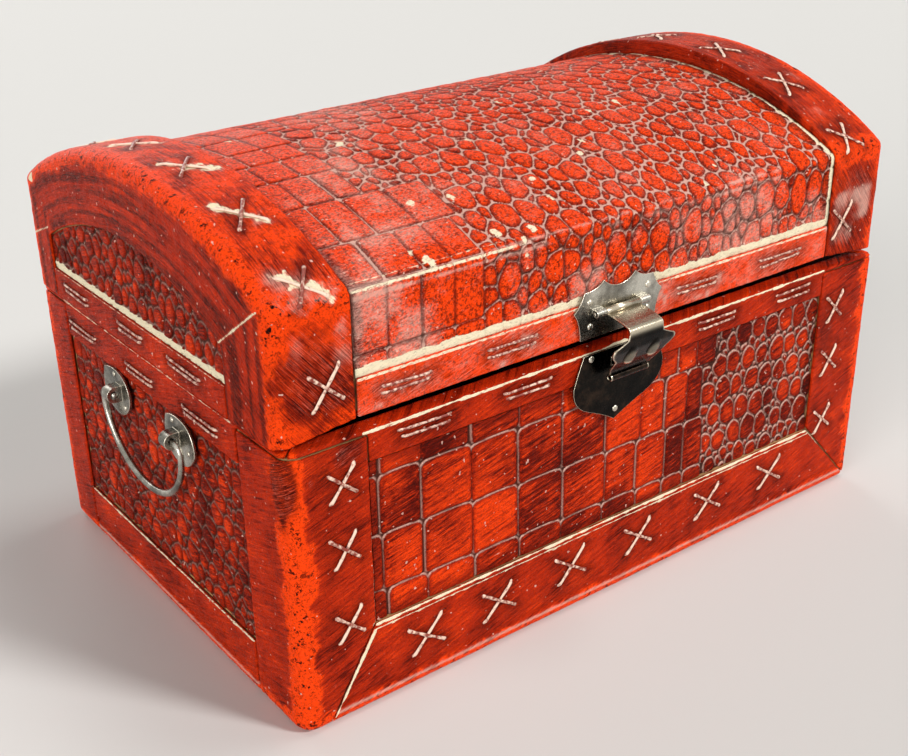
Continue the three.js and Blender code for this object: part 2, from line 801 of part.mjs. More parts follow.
// A strip of even thickness along a line of points, as a closed outline.
function stripOutline(line, thickness) {
  const left = [];
  const right = [];
  line.forEach((point, i) => {
    const before = line[Math.max(i - 1, 0)];
    const after = line[Math.min(i + 1, line.length - 1)];
    const along = after.clone().sub(before).normalize();
    const across = new THREE.Vector2(-along.y, along.x).multiplyScalar(thickness / 2);
    left.push(point.clone().add(across));
    right.push(point.clone().sub(across));
  });
  return [...left, ...right.reverse()].map((p) => [p.x, p.y]);
}

function haspSilhouette() {
  const { centreX, knuckleHalf, earHalfWidth, earRound, lipHalfWidth, haspDrop } = latch;
  const flareZ = latchAxisZ - flareShare * haspDrop;
  const earZ = latchAxisZ - earShare * haspDrop;
  const waistZ = latchAxisZ - waistShare * haspDrop;
  const waistHalfWidth = (earHalfWidth + lipHalfWidth) / 2;
  const half = new THREE.Path();
  half.moveTo(knuckleHalf, latchAxisZ + latch.barrelRadius + overrun);
  half.lineTo(knuckleHalf, flareZ);
  half.quadraticCurveTo(knuckleHalf, earZ + earRound, earHalfWidth - earRound, earZ + earRound);
  half.quadraticCurveTo(earHalfWidth, earZ + earRound, earHalfWidth, earZ);
  half.quadraticCurveTo(earHalfWidth, earZ - earRound, waistHalfWidth, waistZ);
  half.quadraticCurveTo(waistHalfWidth, (waistZ + curlZ) / 2, lipHalfWidth, curlZ + latch.curlRadius);
  half.lineTo(lipHalfWidth, curlZ - latch.curlRadius - overrun);
  const right = half.getPoints(steps.outlineCurve);
  const left = right.slice().reverse();
  return [...right.map((p) => [centreX + p.x, p.y]), ...left.map((p) => [centreX - p.x, p.y])];
}

function addHasp() {
  const { centreX, knuckleHalf, barrelRadius } = latch;
  const half = latch.earHalfWidth + overrun;
  const sheet = prismX(stripOutline(haspCentreLine(), latch.haspThick), centreX - half, centreX + half);
  const silhouette = prismY(haspSilhouette(), peakY - overrun, lowerPlateFront);
  const barAlong = (reach, radius) =>
    barX(centreX - reach, centreX + reach, latchAxisY, latchAxisZ, radius);
  const whole = join(sheet.intersect(silhouette), barAlong(knuckleHalf, barrelRadius));
  add("latch_hasp", cut(whole, barAlong(knuckleHalf + overrun, latchBore)), finish.bronzedSteel);
}

function addLowerPlate() {
  const top = trunk.bodyHeight - latch.lowerDrop;
  const outline = mirroredOutline(
    lowerPlateStartShares,
    lowerPlateRowsShares,
    latch.lowerHalfWidth,
    latch.lowerHeight,
    latch.centreX,
    top,
  ).map(([x, z]) => [x + latch.lowerTipShift * ((top - z) / latch.lowerHeight) ** 3, z]);
  const foot = curlZ + latch.curlRadius + latch.haspThick / 2 + fitGap;
  const inPlate = lowerPlateFront + latch.plate / 2;
  const catchOutline = [
    [inPlate, foot],
    [inPlate, foot + latch.catchHeight],
    [catchNose, foot + (latch.catchHeight * 2) / 3],
    [catchNose, foot + latch.catchHeight / 3],
  ];
  const catchBlock = prismX(
    catchOutline,
    latch.centreX - latch.catchHalfWidth,
    latch.centreX + latch.catchHalfWidth,
  );
  const plate = prismY(outline, lowerPlateFront, lowerPlateBack);
  add("latch_lower_plate", join(plate, catchBlock), finish.bronzedSteel);
}

// A butt hinge with three knuckles: the outer two belong to the body's leaf.
function addHinge(side, centreX) {
  const inner = halfY + fitGap;
  const axisY = inner + hinge.barrelRadius;
  const axisZ = trunk.bodyHeight + lid.seamGap / 2;
  const half = hinge.width / 2;
  const third = hinge.width / 6;
  const x = (along) => centreX + along;
  const bore = barX(x(-half - overrun), x(half + overrun), axisY, axisZ, hinge.pinRadius + fitGap);
  const knuckle = (from, to) => barX(x(from), x(to), axisY, axisZ, hinge.barrelRadius);
  const leaf = (from, to, z0, z1) => block(x(from), x(to), inner, inner + hinge.leaf, z0, z1);
  const clear = hinge.barrelRadius + fitGap;
  const outerFrom = third + fitGap / 2;
  const lower = join(
    leaf(-half, half, axisZ - hinge.leafHeight, axisZ - clear),
    leaf(-half, -outerFrom, axisZ - hinge.leafHeight, axisZ),
    leaf(outerFrom, half, axisZ - hinge.leafHeight, axisZ),
    knuckle(-half, -outerFrom),
    knuckle(outerFrom, half),
  );
  const innerTo = third - fitGap / 2;
  const upper = join(
    leaf(-half, half, axisZ + clear, axisZ + hinge.leafHeight),
    leaf(-innerTo, innerTo, axisZ, axisZ + hinge.leafHeight),
    knuckle(-innerTo, innerTo),
  );
  add(`${side}_hinge_lower_leaf`, cut(lower, bore), finish.pewterSteel);
  add(`${side}_hinge_upper_leaf`, cut(upper, bore), finish.pewterSteel);
  const shaftEnd = half + fitGap;
  const head = (from, to) => barX(x(from), x(to), axisY, axisZ, hinge.headRadius);
  const pin = join(
    barX(x(-shaftEnd), x(shaftEnd), axisY, axisZ, hinge.pinRadius),
    head(-shaftEnd - hinge.headThick, -shaftEnd),
    head(shaftEnd, shaftEnd + hinge.headThick),
  );
  add(`${side}_hinge_pin`, pin, finish.pewterSteel);
}

const bailAxisZ = trunk.bodyHeight - handle.axisDrop;

// A rose's outline in shares of its half width and half height: rounded, with one pointed
// corner up and to the back. Rows are a control point and an end point.
const roseStartShares = [0.83, 0.82];
const roseRowsShares = [
  [0.4, 1.04, -0.1, 0.99],
  [-0.7, 0.95, -0.9, 0.35],
  [-1.08, -0.2, -0.68, -0.62],
  [-0.3, -1.08, 0.2, -0.98],
  [0.9, -0.85, 1, -0.2],
  [1.02, 0.35, 0.83, 0.82],
];

function roseOutline(centreY, centreZ) {
  const path = new THREE.Path();
  path.moveTo(roseStartShares[0] * handle.roseHalfWidth, roseStartShares[1] * handle.roseHalfHeight);
  for (const [cu, cv, eu, ev] of roseRowsShares) {
    path.quadraticCurveTo(
      cu * handle.roseHalfWidth,
      cv * handle.roseHalfHeight,
      eu * handle.roseHalfWidth,
      ev * handle.roseHalfHeight,
    );
  }
  const points = path.getPoints(steps.outlineCurve).slice(0, -1);
  return points.map((p) => [centreY + p.x, centreZ + p.y]);
}

// The bail's line in (y, z): a turned-in end, a bend, a half ellipse and the same again.
function bailLine() {
  const { halfWidth, bend, drop, tipHalfWidth } = handle;
  const half = [[tipHalfWidth, bailAxisZ]];
  for (let i = 0; i <= steps.bailBend; i++) {
    const angle = (Math.PI / 2) * (1 - i / steps.bailBend);
    half.push(arcPoint(halfWidth - bend, bailAxisZ - bend, bend, angle));
  }
  const line = [...half];
  for (let i = 1; i < steps.bailArc; i++) {
    const angle = (Math.PI * i) / steps.bailArc;
    line.push([halfWidth * Math.cos(angle), bailAxisZ - bend - (drop - bend) * Math.sin(angle)]);
  }
  for (const [y, z] of half.slice().reverse()) {
    line.push([-y, z]);
  }
  return line;
}

// A round bar swept along a flat line of points that lies across X.
function sweptBar(line, x, centreY, radius) {
  const points = line.map(([y, z]) => new THREE.Vector3(x, centreY + y, z));
  const loops = points.map((point, i) => {
    const before = points[Math.max(i - 1, 0)];
    const after = points[Math.min(i + 1, points.length - 1)];
    const along = after.clone().sub(before).normalize();
    const across = new THREE.Vector3().crossVectors(along, alongX);
    const ring = [];
    for (let k = 0; k < steps.bailSides; k++) {
      const angle = (2 * Math.PI * k) / steps.bailSides;
      const out = alongX.clone().multiplyScalar(radius * Math.cos(angle));
      ring.push(out.add(across.clone().multiplyScalar(radius * Math.sin(angle))).add(point));
    }
    return ring;
  });
  return loft(loops);
}

function addHandle(side, sign) {
  const face = sign * halfX;
  const axisX = sign * (halfX + handle.axisStandOff);
  const line = bailLine();
  add(`${side}_bail`, sweptBar(line, axisX, handle.centreY, handle.barRadius), finish.pewterSteel);
  const from = face + sign * fitGap;
  const to = from + sign * handle.roseThick;
  const places = [
    ["back", 1],
    ["front", -1],
  ];
  for (const [end, way] of places) {
    const roseY = handle.centreY + way * handle.roseOffset;
    const eyeY = handle.centreY + way * handle.eyeOffset;
    const outline = roseOutline(roseY, bailAxisZ - handle.roseDrop);
    const plate = prismX(outline, Math.min(from, to), Math.max(from, to));
    const y0 = eyeY - handle.eyeWidth / 2;
    const y1 = eyeY + handle.eyeWidth / 2;
    const inside = from + (sign * handle.roseThick) / 2;
    const web = block(
      Math.min(inside, axisX),
      Math.max(inside, axisX),
      y0,
      y1,
      bailAxisZ - handle.eyeRadius,
      bailAxisZ + handle.eyeRadius,
    );
    const eye = join(barY(y0, y1, axisX, bailAxisZ, handle.eyeRadius), web);
    const bore = barY(y0 - overrun, y1 + overrun, axisX, bailAxisZ, handle.barRadius + fitGap);
    add(`${side}_${end}_rose`, cut(join(plate, eye), bore), finish.pewterSteel);
  }
}

addBodyBoards();
addBodyLining();
addBodyStraps();
addBodyPanels();
addLidBoards();
addLidLining();
addLidStraps();
addLidPanels();
addUpperPlate();
addHasp();
addLowerPlate();
addHinge("left", hinge.inset - halfX);
addHinge("right", halfX - hinge.inset);
addHandle("left", -1);
addHandle("right", 1);

export default part;
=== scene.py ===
import json
import math

import bmesh
import bpy
import numpy as np
from mathutils import Matrix, Vector

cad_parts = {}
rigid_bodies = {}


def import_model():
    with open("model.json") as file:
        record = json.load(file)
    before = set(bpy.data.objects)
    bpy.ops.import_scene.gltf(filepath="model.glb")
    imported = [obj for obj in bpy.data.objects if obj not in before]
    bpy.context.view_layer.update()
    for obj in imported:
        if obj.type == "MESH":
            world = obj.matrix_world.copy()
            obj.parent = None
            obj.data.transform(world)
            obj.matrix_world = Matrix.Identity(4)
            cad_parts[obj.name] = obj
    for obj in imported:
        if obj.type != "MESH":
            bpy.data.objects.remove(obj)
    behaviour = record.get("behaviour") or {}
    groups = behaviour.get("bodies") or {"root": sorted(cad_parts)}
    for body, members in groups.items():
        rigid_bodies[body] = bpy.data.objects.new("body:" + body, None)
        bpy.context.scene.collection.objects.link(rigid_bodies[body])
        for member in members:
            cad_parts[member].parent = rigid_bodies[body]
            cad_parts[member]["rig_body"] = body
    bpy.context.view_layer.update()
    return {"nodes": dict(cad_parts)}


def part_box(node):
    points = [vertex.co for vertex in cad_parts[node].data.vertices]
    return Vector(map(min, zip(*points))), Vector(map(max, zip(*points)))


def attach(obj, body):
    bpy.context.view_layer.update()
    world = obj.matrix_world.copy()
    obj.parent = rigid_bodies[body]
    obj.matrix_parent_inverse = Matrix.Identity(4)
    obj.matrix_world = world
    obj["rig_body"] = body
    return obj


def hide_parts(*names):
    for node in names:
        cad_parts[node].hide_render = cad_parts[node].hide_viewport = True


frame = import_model()
nodes = frame["nodes"]
scene = bpy.context.scene
scene.view_settings.view_transform = "Standard"
print("frame loaded with", len(nodes), "nodes")

mm = 0.001  # every size below is in millimetres, and a mesh gets metres when it is made


# Places, noise and masks

def boxOf(node):
    low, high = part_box(node)
    return np.array(low) / mm, np.array(high) / mm


def smoothStep(low, high, value):
    t = np.clip((value - low) / (high - low), 0, 1)
    return t * t * (3 - 2 * t)


# Smooth noise from -1 to 1 whose bumps are about one size apart.
# Its large numbers only mix each corner's place into a value that looks random.
def softNoise(points, size, seed=1):
    p = np.asarray(points, float) / size
    base = np.floor(p).astype(np.int64)
    t = p - base
    t = t * t * (3 - 2 * t)
    total = np.zeros(len(p))
    for corner in range(8):
        step = np.array([corner & 1, corner >> 1 & 1, corner >> 2 & 1])
        q = base + step
        mixed = (q[:, 0] * 73856093) ^ (q[:, 1] * 19349663) ^ (q[:, 2] * 83492791) ^ (seed * 40503)
        mixed = ((mixed ^ (mixed >> 13)) * 1274126177) & 0xFFFFFFFF
        value = ((mixed ^ (mixed >> 16)) & 0xFFFF) / 32767.5 - 1
        total += value * np.prod(np.where(step == 1, t, 1 - t), axis=1)
    return total


def distanceToLine(points, start, end):
    start = np.asarray(start, float)
    run = np.asarray(end, float) - start
    t = np.clip((points - start) @ run / (run @ run), 0, 1)
    return np.linalg.norm(points - start - t[:, None] * run, axis=1)


def pointsOf(mesh):
    flat = np.empty(len(mesh.vertices) * 3)
    mesh.vertices.foreach_get("co", flat)
    return flat.reshape(-1, 3) / mm


def normalsOf(mesh):
    flat = np.empty(len(mesh.vertices) * 3)
    mesh.vertex_normals.foreach_get("vector", flat)
    return flat.reshape(-1, 3)


def movePoints(mesh, points):
    mesh.vertices.foreach_set("co", (points * mm).astype(np.float32).ravel())
    mesh.update()


def setMask(mesh, name, values):
    layer = mesh.attributes.new(name, "FLOAT", "POINT")
    layer.data.foreach_set("value", np.clip(values, 0, 1).astype(np.float32))


def setBrush(mesh, places):
    layer = mesh.attributes.new("brush", "FLOAT_VECTOR", "POINT")
    layer.data.foreach_set("vector", np.asarray(places, np.float32).ravel())


def meshFrom(bm, name):
    mesh = bpy.data.meshes.new(name)
    bm.to_mesh(mesh)
    bm.free()
    return mesh


# A flat grid from -0.5 to 0.5 both ways, and its points in those units.
def flatGrid(name, columns, rows):
    bm = bmesh.new()
    bmesh.ops.create_grid(bm, x_segments=columns, y_segments=rows, size=0.5)
    mesh = meshFrom(bm, name)
    return mesh, pointsOf(mesh)[:, :2] * mm


def newPiece(name, mesh, material, smooth=True):
    piece = bpy.data.objects.new(name, mesh)
    scene.collection.objects.link(piece)
    mesh.materials.clear()
    mesh.materials.append(material)
    mesh.polygons.foreach_set("use_smooth", [smooth] * len(mesh.polygons))
    return piece


def standFor(piece, node):
    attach(piece, nodes[node]["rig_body"])
    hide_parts(node)


# Materials

def hexColor(text):
    channels = [int(text[i : i + 2], 16) / 255 for i in (1, 3, 5)]
    return [c / 12.92 if c <= 0.04045 else ((c + 0.055) / 1.055) ** 2.4 for c in channels] + [1]


def newMaterial(name):
    material = bpy.data.materials.new(name)
    material.use_nodes = True
    material.node_tree.nodes.clear()
    return material, material.node_tree


def addNode(tree, kind, inputs=None, **settings):
    node = tree.nodes.new(kind)
    for name, value in settings.items():
        setattr(node, name, value)
    for key, value in (inputs or {}).items():
        if isinstance(value, bpy.types.NodeSocket):
            tree.links.new(value, node.inputs[key])
        else:
            node.inputs[key].default_value = value
    return node


# Gives a ramp its stops, each as a position and a colour.
def setTones(ramp, tones):
    while len(ramp.color_ramp.elements) < len(tones):
        ramp.color_ramp.elements.new(0.5)
    for stop, (position, colour) in zip(ramp.color_ramp.elements, tones):
        stop.position = position
        stop.color = hexColor(colour)


paintColours = {
    "bright": "#fb450c",
    "red": "#b92b0c",
    "deep": "#5f0e04",
    "umber": "#180604",
    # dark ash, which also serves as painted shade on groove floors
    "ash": "#3b2720",
    "dust": "#e3b5a4",
    "chalk": "#f3e4c2",
}


# What the coats of paint on hide follow: masks, patterns, and sums of both.
def hideFields(tree, values):
    place = addNode(tree, "ShaderNodeTexCoord").outputs["Object"]
    brush = addNode(tree, "ShaderNodeAttribute", attribute_name="brush").outputs["Vector"]
    fields = {}
    for key in ("wear", "grime", "dust", "chalk", "border", "lit", "tone"):
        fields[key] = addNode(tree, "ShaderNodeAttribute", attribute_name=key).outputs["Fac"]

    # Each pattern: its coordinates, the size of its marks in them, detail and roughness
    for key, source, size, detail, roughness in (
        ("streaks", brush, values["streak"], 6.0, 0.74),
        ("hairs", brush, values["hair"], 4.0, 0.85),
        ("cloud", place, [values["cloud"] * mm] * 3, 3.0, 0.6),
        ("grain", place, [values["grain"] * mm] * 3, 2.0, 0.85),
        ("chips", place, [values["chip"] * mm] * 3, 4.0, 0.8),
        ("flecks", place, [values["fleck"] * mm] * 3, 1.0, 0.5),
    ):
        scale = {"Vector": source, "Scale": [1 / length for length in size]}
        scaled = addNode(tree, "ShaderNodeMapping", scale).outputs["Vector"]
        inputs = {"Vector": scaled, "Scale": 1.0, "Detail": detail, "Roughness": roughness}
        fields[key] = addNode(tree, "ShaderNodeTexNoise", inputs).outputs["Fac"]

    # Each sum: the field that it starts from, and how much of the others is added
    glaze = {"hairs": values["hairShare"], "cloud": values["cloudShare"], "grain": values["grainShare"]}
    sums = {
        "crumbly": ("chalk", {"chips": 0.6, "hairs": 0.6}),
        "streaky": ("dust", {"hairs": 1.1}),
        "height": ("streaks", {"hairs": 0.6, "grain": 0.9, "chips": 1.2}),
    }
    if values["grooved"]:
        glaze["tone"] = values["toneShare"]
        sums["ragged"] = ("border", {"grain": 0.12})
        inputs = {"Value": fields["lit"], "To Min": 1.0, "To Max": 0.0}
        fields["unlit"] = addNode(tree, "ShaderNodeMapRange", inputs).outputs[0]
    sums["glaze"] = ("streaks", glaze)
    sums["rubbed"] = ("glaze", {"wear": values["wearShare"]})
    for key, (first, shares) in sums.items():
        total = fields[first]
        for source, share in shares.items():
            inputs = {0: fields[source], 1: share, 2: total}
            total = addNode(tree, "ShaderNodeMath", inputs, operation="MULTIPLY_ADD").outputs[0]
        fields[key] = total
    return fields


# Each coat: its colour, what it follows, where that starts and ends, how much shows, and its mask.
def hideCoats(values):
    redFrom, chipFrom, rimFrom = values["redFrom"], values["chipFrom"], values.get("rimFrom")
    coats = [
        ("umber", "glaze", redFrom + 0.04, redFrom - 0.2, 0.8, None),
        ("red", "glaze", redFrom, values["redTo"], 1.0, None),
        ("bright", "rubbed", values["brightFrom"], values["brightTo"], 1.0, None),
        ("umber", "grain", values["speckleFrom"], 0.66, values["speckle"], None),
        # Umber streaks where there is grime, and as painted shade round stitches and along panel edges
        ("umber", "hairs", 0.78, 0.3, 1.0, "grime"),
        ("umber", "chips", chipFrom, chipFrom + 0.04, 1.0, "wear"),
        ("dust", "streaky", 0.76, 1.25, 0.7, None),
    ]
    if values["grooved"]:
        coats += [
            # Painted shade: an umber rim round each scale, so that its middle looks domed
            ("umber", "ragged", rimFrom, rimFrom - 0.12, values["rimShade"], None),
            # Painted shade: ash-coloured groove floors where they face away from the light
            ("ash", "ragged", 0.16, 0.06, 0.85, "unlit"),
            # Pale dust in the grooves where they face up or towards the light: partly dust, partly a
            # painted highlight
            ("dust", "ragged", values["dustTo"], 0.08, 1.0, "lit"),
        ]
    return coats + [
        ("dust", "flecks", 0.73, 0.76, 0.8, None),
        ("chalk", "crumbly", 1.24, 1.4, 1.0, None),
        ("ash", "hairs", 0.46, 0.32, 0.6, "chalk"),
    ]


# Hide under brushed vermilion paint, rubbed back with an umber glaze: the glaze stays in
# streaks and hollows, edges are rubbed bright, and chalky dust has settled along the seams.
def rubbedHide(name, values):
    material, tree = newMaterial(name)
    fields = hideFields(tree, values)
    paint = hexColor(paintColours["deep"])
    for colour, source, start, end, most, mask in hideCoats(values):
        inputs = {"Value": fields[source], "From Min": start, "From Max": end, "To Max": most}
        share = addNode(tree, "ShaderNodeMapRange", inputs, interpolation_type="SMOOTHSTEP").outputs[0]
        if mask:
            inputs = {0: share, 1: fields[mask]}
            share = addNode(tree, "ShaderNodeMath", inputs, operation="MULTIPLY").outputs[0]
        inputs = {0: share, 6: paint, 7: hexColor(paintColours[colour])}
        paint = addNode(tree, "ShaderNodeMix", inputs, data_type="RGBA").outputs[2]

    inputs = {"Height": fields["height"], "Distance": values["bump"] * mm, "Strength": 1.0}
    bump = addNode(tree, "ShaderNodeBump", inputs).outputs["Normal"]
    inputs = {"Value": fields["chips"], "From Min": 0.3, "From Max": 0.7}
    inputs |= {"To Min": values["smooth"], "To Max": values["rough"]}
    gloss = addNode(tree, "ShaderNodeMapRange", inputs).outputs[0]
    inputs = {"Base Color": paint, "Roughness": gloss, "Normal": bump}
    inputs["Specular IOR Level"] = values["shine"]
    shader = addNode(tree, "ShaderNodeBsdfPrincipled", inputs)
    addNode(tree, "ShaderNodeOutputMaterial", {"Surface": shader.outputs[0]})
    return material


strapFinish = {
    "streak": (16.0, 1.3, 1.3),  # a brush mark's length and width
    "hair": (7.0, 0.5, 0.5),  # and one bristle's
    "cloud": 24.0,
    "grain": 0.9,
    "chip": 2.6,
    "fleck": 1.9,
    "hairShare": 0.9,  # how much each pattern adds to the glaze
    "cloudShare": 0.7,
    "grainShare": 0.3,
    "wearShare": 0.8,
    "redFrom": 1.2,  # the glaze's level where red paint starts to show, and where it is full
    "redTo": 1.46,
    "brightFrom": 1.46,
    "brightTo": 1.8,
    "chipFrom": 0.56,
    "speckle": 0.5,
    "speckleFrom": 0.5,
    "grooved": False,
    "bump": 0.5,
    "smooth": 0.22,
    "rough": 0.46,
    "shine": 0.03,  # old paint, nearly matt, so that a pale room doesn't veil its red
}
strapHide = rubbedHide("brushed_vermilion_hide", strapFinish)

panelFinish = dict(
    strapFinish,
    cloud=30.0,
    grooved=True,
    toneShare=0.16,  # how much one scale differs from the next
    redFrom=1.36,
    redTo=1.66,
    brightFrom=1.69,
    brightTo=2.05,
    rimShade=0.4,  # painted shade: a dark rim round each scale, from this far out
    rimFrom=0.26,
    dustTo=0.19,  # dust and a painted highlight lie in the grooves up to here
)
panelHide = rubbedHide("embossed_vermilion_hide", panelFinish)

linenFinish = {
    "tones": [(0.5, "#84301f"), (0.72, "#eccbb4")],  # from hollow to raised strand
    "paleShare": 0.3,
    "patch": 1.5,
    "rough": 0.4,
    "bump": 0.2,
}


# Waxed linen thread, rubbed over with the same paint: raised strands are pale, hollows stay red,
# and the under threads of the crosses took more of the paint than the upper ones.
def waxedLinen(values):
    material, tree = newMaterial("waxed_linen_thread")
    place = addNode(tree, "ShaderNodeTexCoord").outputs["Object"]
    pale = addNode(tree, "ShaderNodeAttribute", attribute_name="pale").outputs["Fac"]
    scale = {"Vector": place, "Scale": [1 / (values["patch"] * mm)] * 3}
    scaled = addNode(tree, "ShaderNodeMapping", scale).outputs[0]
    inputs = {"Vector": scaled, "Scale": 1.0, "Detail": 3.0}
    patches = addNode(tree, "ShaderNodeTexNoise", inputs).outputs["Fac"]
    inputs = {0: pale, 1: values["paleShare"], 2: patches}
    shown = addNode(tree, "ShaderNodeMath", inputs, operation="MULTIPLY_ADD").outputs[0]
    ramp = addNode(tree, "ShaderNodeValToRGB", {"Fac": shown})
    setTones(ramp, values["tones"])
    inputs = {"Height": patches, "Distance": values["bump"] * mm}
    bump = addNode(tree, "ShaderNodeBump", inputs).outputs[0]
    inputs = {"Base Color": ramp.outputs[0], "Roughness": values["rough"], "Normal": bump}
    shader = addNode(tree, "ShaderNodeBsdfPrincipled", inputs)
    addNode(tree, "ShaderNodeOutputMaterial", {"Surface": shader.outputs[0]})
    return material


waxedThread = waxedLinen(linenFinish)


# Old steel: pewter grey where it is handled, darker and browner where the skin is whole.
def agedSteel(name, values):
    material, tree = newMaterial(name)
    rubbed = addNode(tree, "ShaderNodeAttribute", attribute_name="rub").outputs["Fac"]
    place = addNode(tree, "ShaderNodeTexCoord").outputs["Object"]
    patterns = {}
    for key, detail in (("cloud", 4.0), ("pits", 3.0)):
        scale = {"Vector": place, "Scale": [1 / (values[key] * mm)] * 3}
        scaled = addNode(tree, "ShaderNodeMapping", scale).outputs["Vector"]
        inputs = {"Vector": scaled, "Scale": 1.0, "Detail": detail, "Roughness": 0.65}
        patterns[key] = addNode(tree, "ShaderNodeTexNoise", inputs).outputs["Fac"]
    ramp = addNode(tree, "ShaderNodeValToRGB", {"Fac": patterns["cloud"]})
    setTones(ramp, values["tones"])
    bare = {0: rubbed, 6: ramp.outputs[0], 7: hexColor(values["bare"])}
    colour = addNode(tree, "ShaderNodeMix", bare, data_type="RGBA").outputs[2]
    inputs = {"Value": patterns["pits"], "From Min": 0.3, "From Max": 0.7}
    inputs |= {"To Min": values["smooth"], "To Max": values["rough"]}
    gloss = addNode(tree, "ShaderNodeMapRange", inputs).outputs[0]
    inputs = {0: patterns["cloud"], 1: patterns["pits"]}
    height = addNode(tree, "ShaderNodeMath", inputs, operation="ADD").outputs[0]
    inputs = {"Height": height, "Distance": values["bump"] * mm}
    bump = addNode(tree, "ShaderNodeBump", inputs).outputs[0]
    inputs = {"Base Color": colour, "Metallic": 1.0, "Roughness": gloss, "Normal": bump}
    shader = addNode(tree, "ShaderNodeBsdfPrincipled", inputs)
    addNode(tree, "ShaderNodeOutputMaterial", {"Surface": shader.outputs[0]})
    return material


pewterFinish = {
    "cloud": 13.0,
    "pits": 0.7,
    "tones": [(0.34, "#5a5850"), (0.5, "#949087"), (0.66, "#ccc8bd")],
    "bare": "#ece4d2",
    "smooth": 0.2,
    "rough": 0.34,
    "bump": 0.04,
}
pewterSteel = agedSteel("handled_pewter_steel", pewterFinish)

# Blackened steel with a bronze tinge: nearly black, with pale edges where hands have rubbed it
bronzeFinish = {
    "cloud": 10.0,
    "pits": 0.8,
    "tones": [(0.34, "#110f0e"), (0.5, "#1c1815"), (0.66, "#3a2d24")],
    "bare": "#cfc4ae",
    "smooth": 0.18,
    "rough": 0.32,
    "bump": 0.05,
}
bronzedSteel = agedSteel("blackened_bronze_steel", bronzeFinish)
print("materials made")


# Straps: each is a softened copy of its solid, a little uneven, with dents under its stitches

strapShape = {
    "voxel": 0.7,
    "smoothing": 2,
    "sag": 0.22,  # how deep the hollows between high spots are
    "lump": 11.0,  # distance between high spots
    "smallLumpShare": 0.4,
    "pebble": 0.22,  # small lumps all over
    "pebbleSize": 2.6,
    "dentDepth": 0.45,  # under a thread, and less under the upper one of a cross
    "dentWidth": 1.1,
    "upperDentShare": 0.6,
    "rollHeight": 7.8,  # a soft roll runs along the trunk's foot, under a shallow groove
    "rollGroove": 0.45,
    "rollWidth": 1.3,
    "rollEnd": 3.0,  # how far from the outer edges the groove ends
}


def softenedCopy(node):
    bm = bmesh.new()
    bm.from_mesh(nodes[node].data)
    bmesh.ops.remove_doubles(bm, verts=bm.verts, dist=0.001 * mm)
    draft = bpy.data.objects.new("draft", meshFrom(bm, node))
    scene.collection.objects.link(draft)
    remesh = draft.modifiers.new("even", "REMESH")
    remesh.mode = "VOXEL"
    remesh.voxel_size = strapShape["voxel"] * mm
    graph = bpy.context.evaluated_depsgraph_get()
    mesh = bpy.data.meshes.new_from_object(draft.evaluated_get(graph))
    bpy.data.objects.remove(draft)
    bm = bmesh.new()
    bm.from_mesh(mesh)
    for _ in range(strapShape["smoothing"]):
        allWays = {f"use_axis_{axis}": True for axis in "xyz"}
        bmesh.ops.smooth_vert(bm, verts=bm.verts, factor=0.5, **allWays)
    bm.to_mesh(mesh)
    bm.free()
    return mesh


# How far each point stands out from its neighbours, in shares of the voxel, evened twice.
def convexity(mesh, points, normals):
    pairs = np.empty(len(mesh.edges) * 2, np.int64)
    mesh.edges.foreach_get("vertices", pairs)
    a, b = pairs.reshape(-1, 2).T
    total = np.zeros_like(points)
    count = np.bincount(np.concatenate([a, b]), minlength=len(points))
    for axis in range(3):
        total[:, axis] = np.bincount(a, points[b, axis], len(points))
        total[:, axis] += np.bincount(b, points[a, axis], len(points))
    mean = total / np.maximum(count, 1)[:, None]
    bend = ((points - mean) * normals).sum(axis=1) / strapShape["voxel"]
    for _ in range(2):
        spread = np.bincount(a, bend[b], len(points)) + np.bincount(b, bend[a], len(points))
        bend = (bend + spread / np.maximum(count, 1)) / 2
    return bend


# The trunk's faces, as flat or curved places for whatever lies on them

trunkForm = {
    "halfWidth": -boxOf("front_left_corner_strap")[0][0],
    "front": boxOf("front_left_corner_strap")[0][1],
    "back": boxOf("back_left_corner_strap")[1][1],
    "lidHalfWidth": -boxOf("left_arch_strap")[0][0],
    "lidFront": boxOf("left_arch_strap")[0][1],
    "lidBack": boxOf("left_arch_strap")[1][1],
    "lidFoot": boxOf("left_arch_strap")[0][2],
    "ridgeHeight": 164.3,
    "ridgeRadius": 4.0,
    "archRises": {"left": 26.2, "right": 31.4},
    "domeRises": (20.8, 26.0),  # at the lid's left and right ends
}


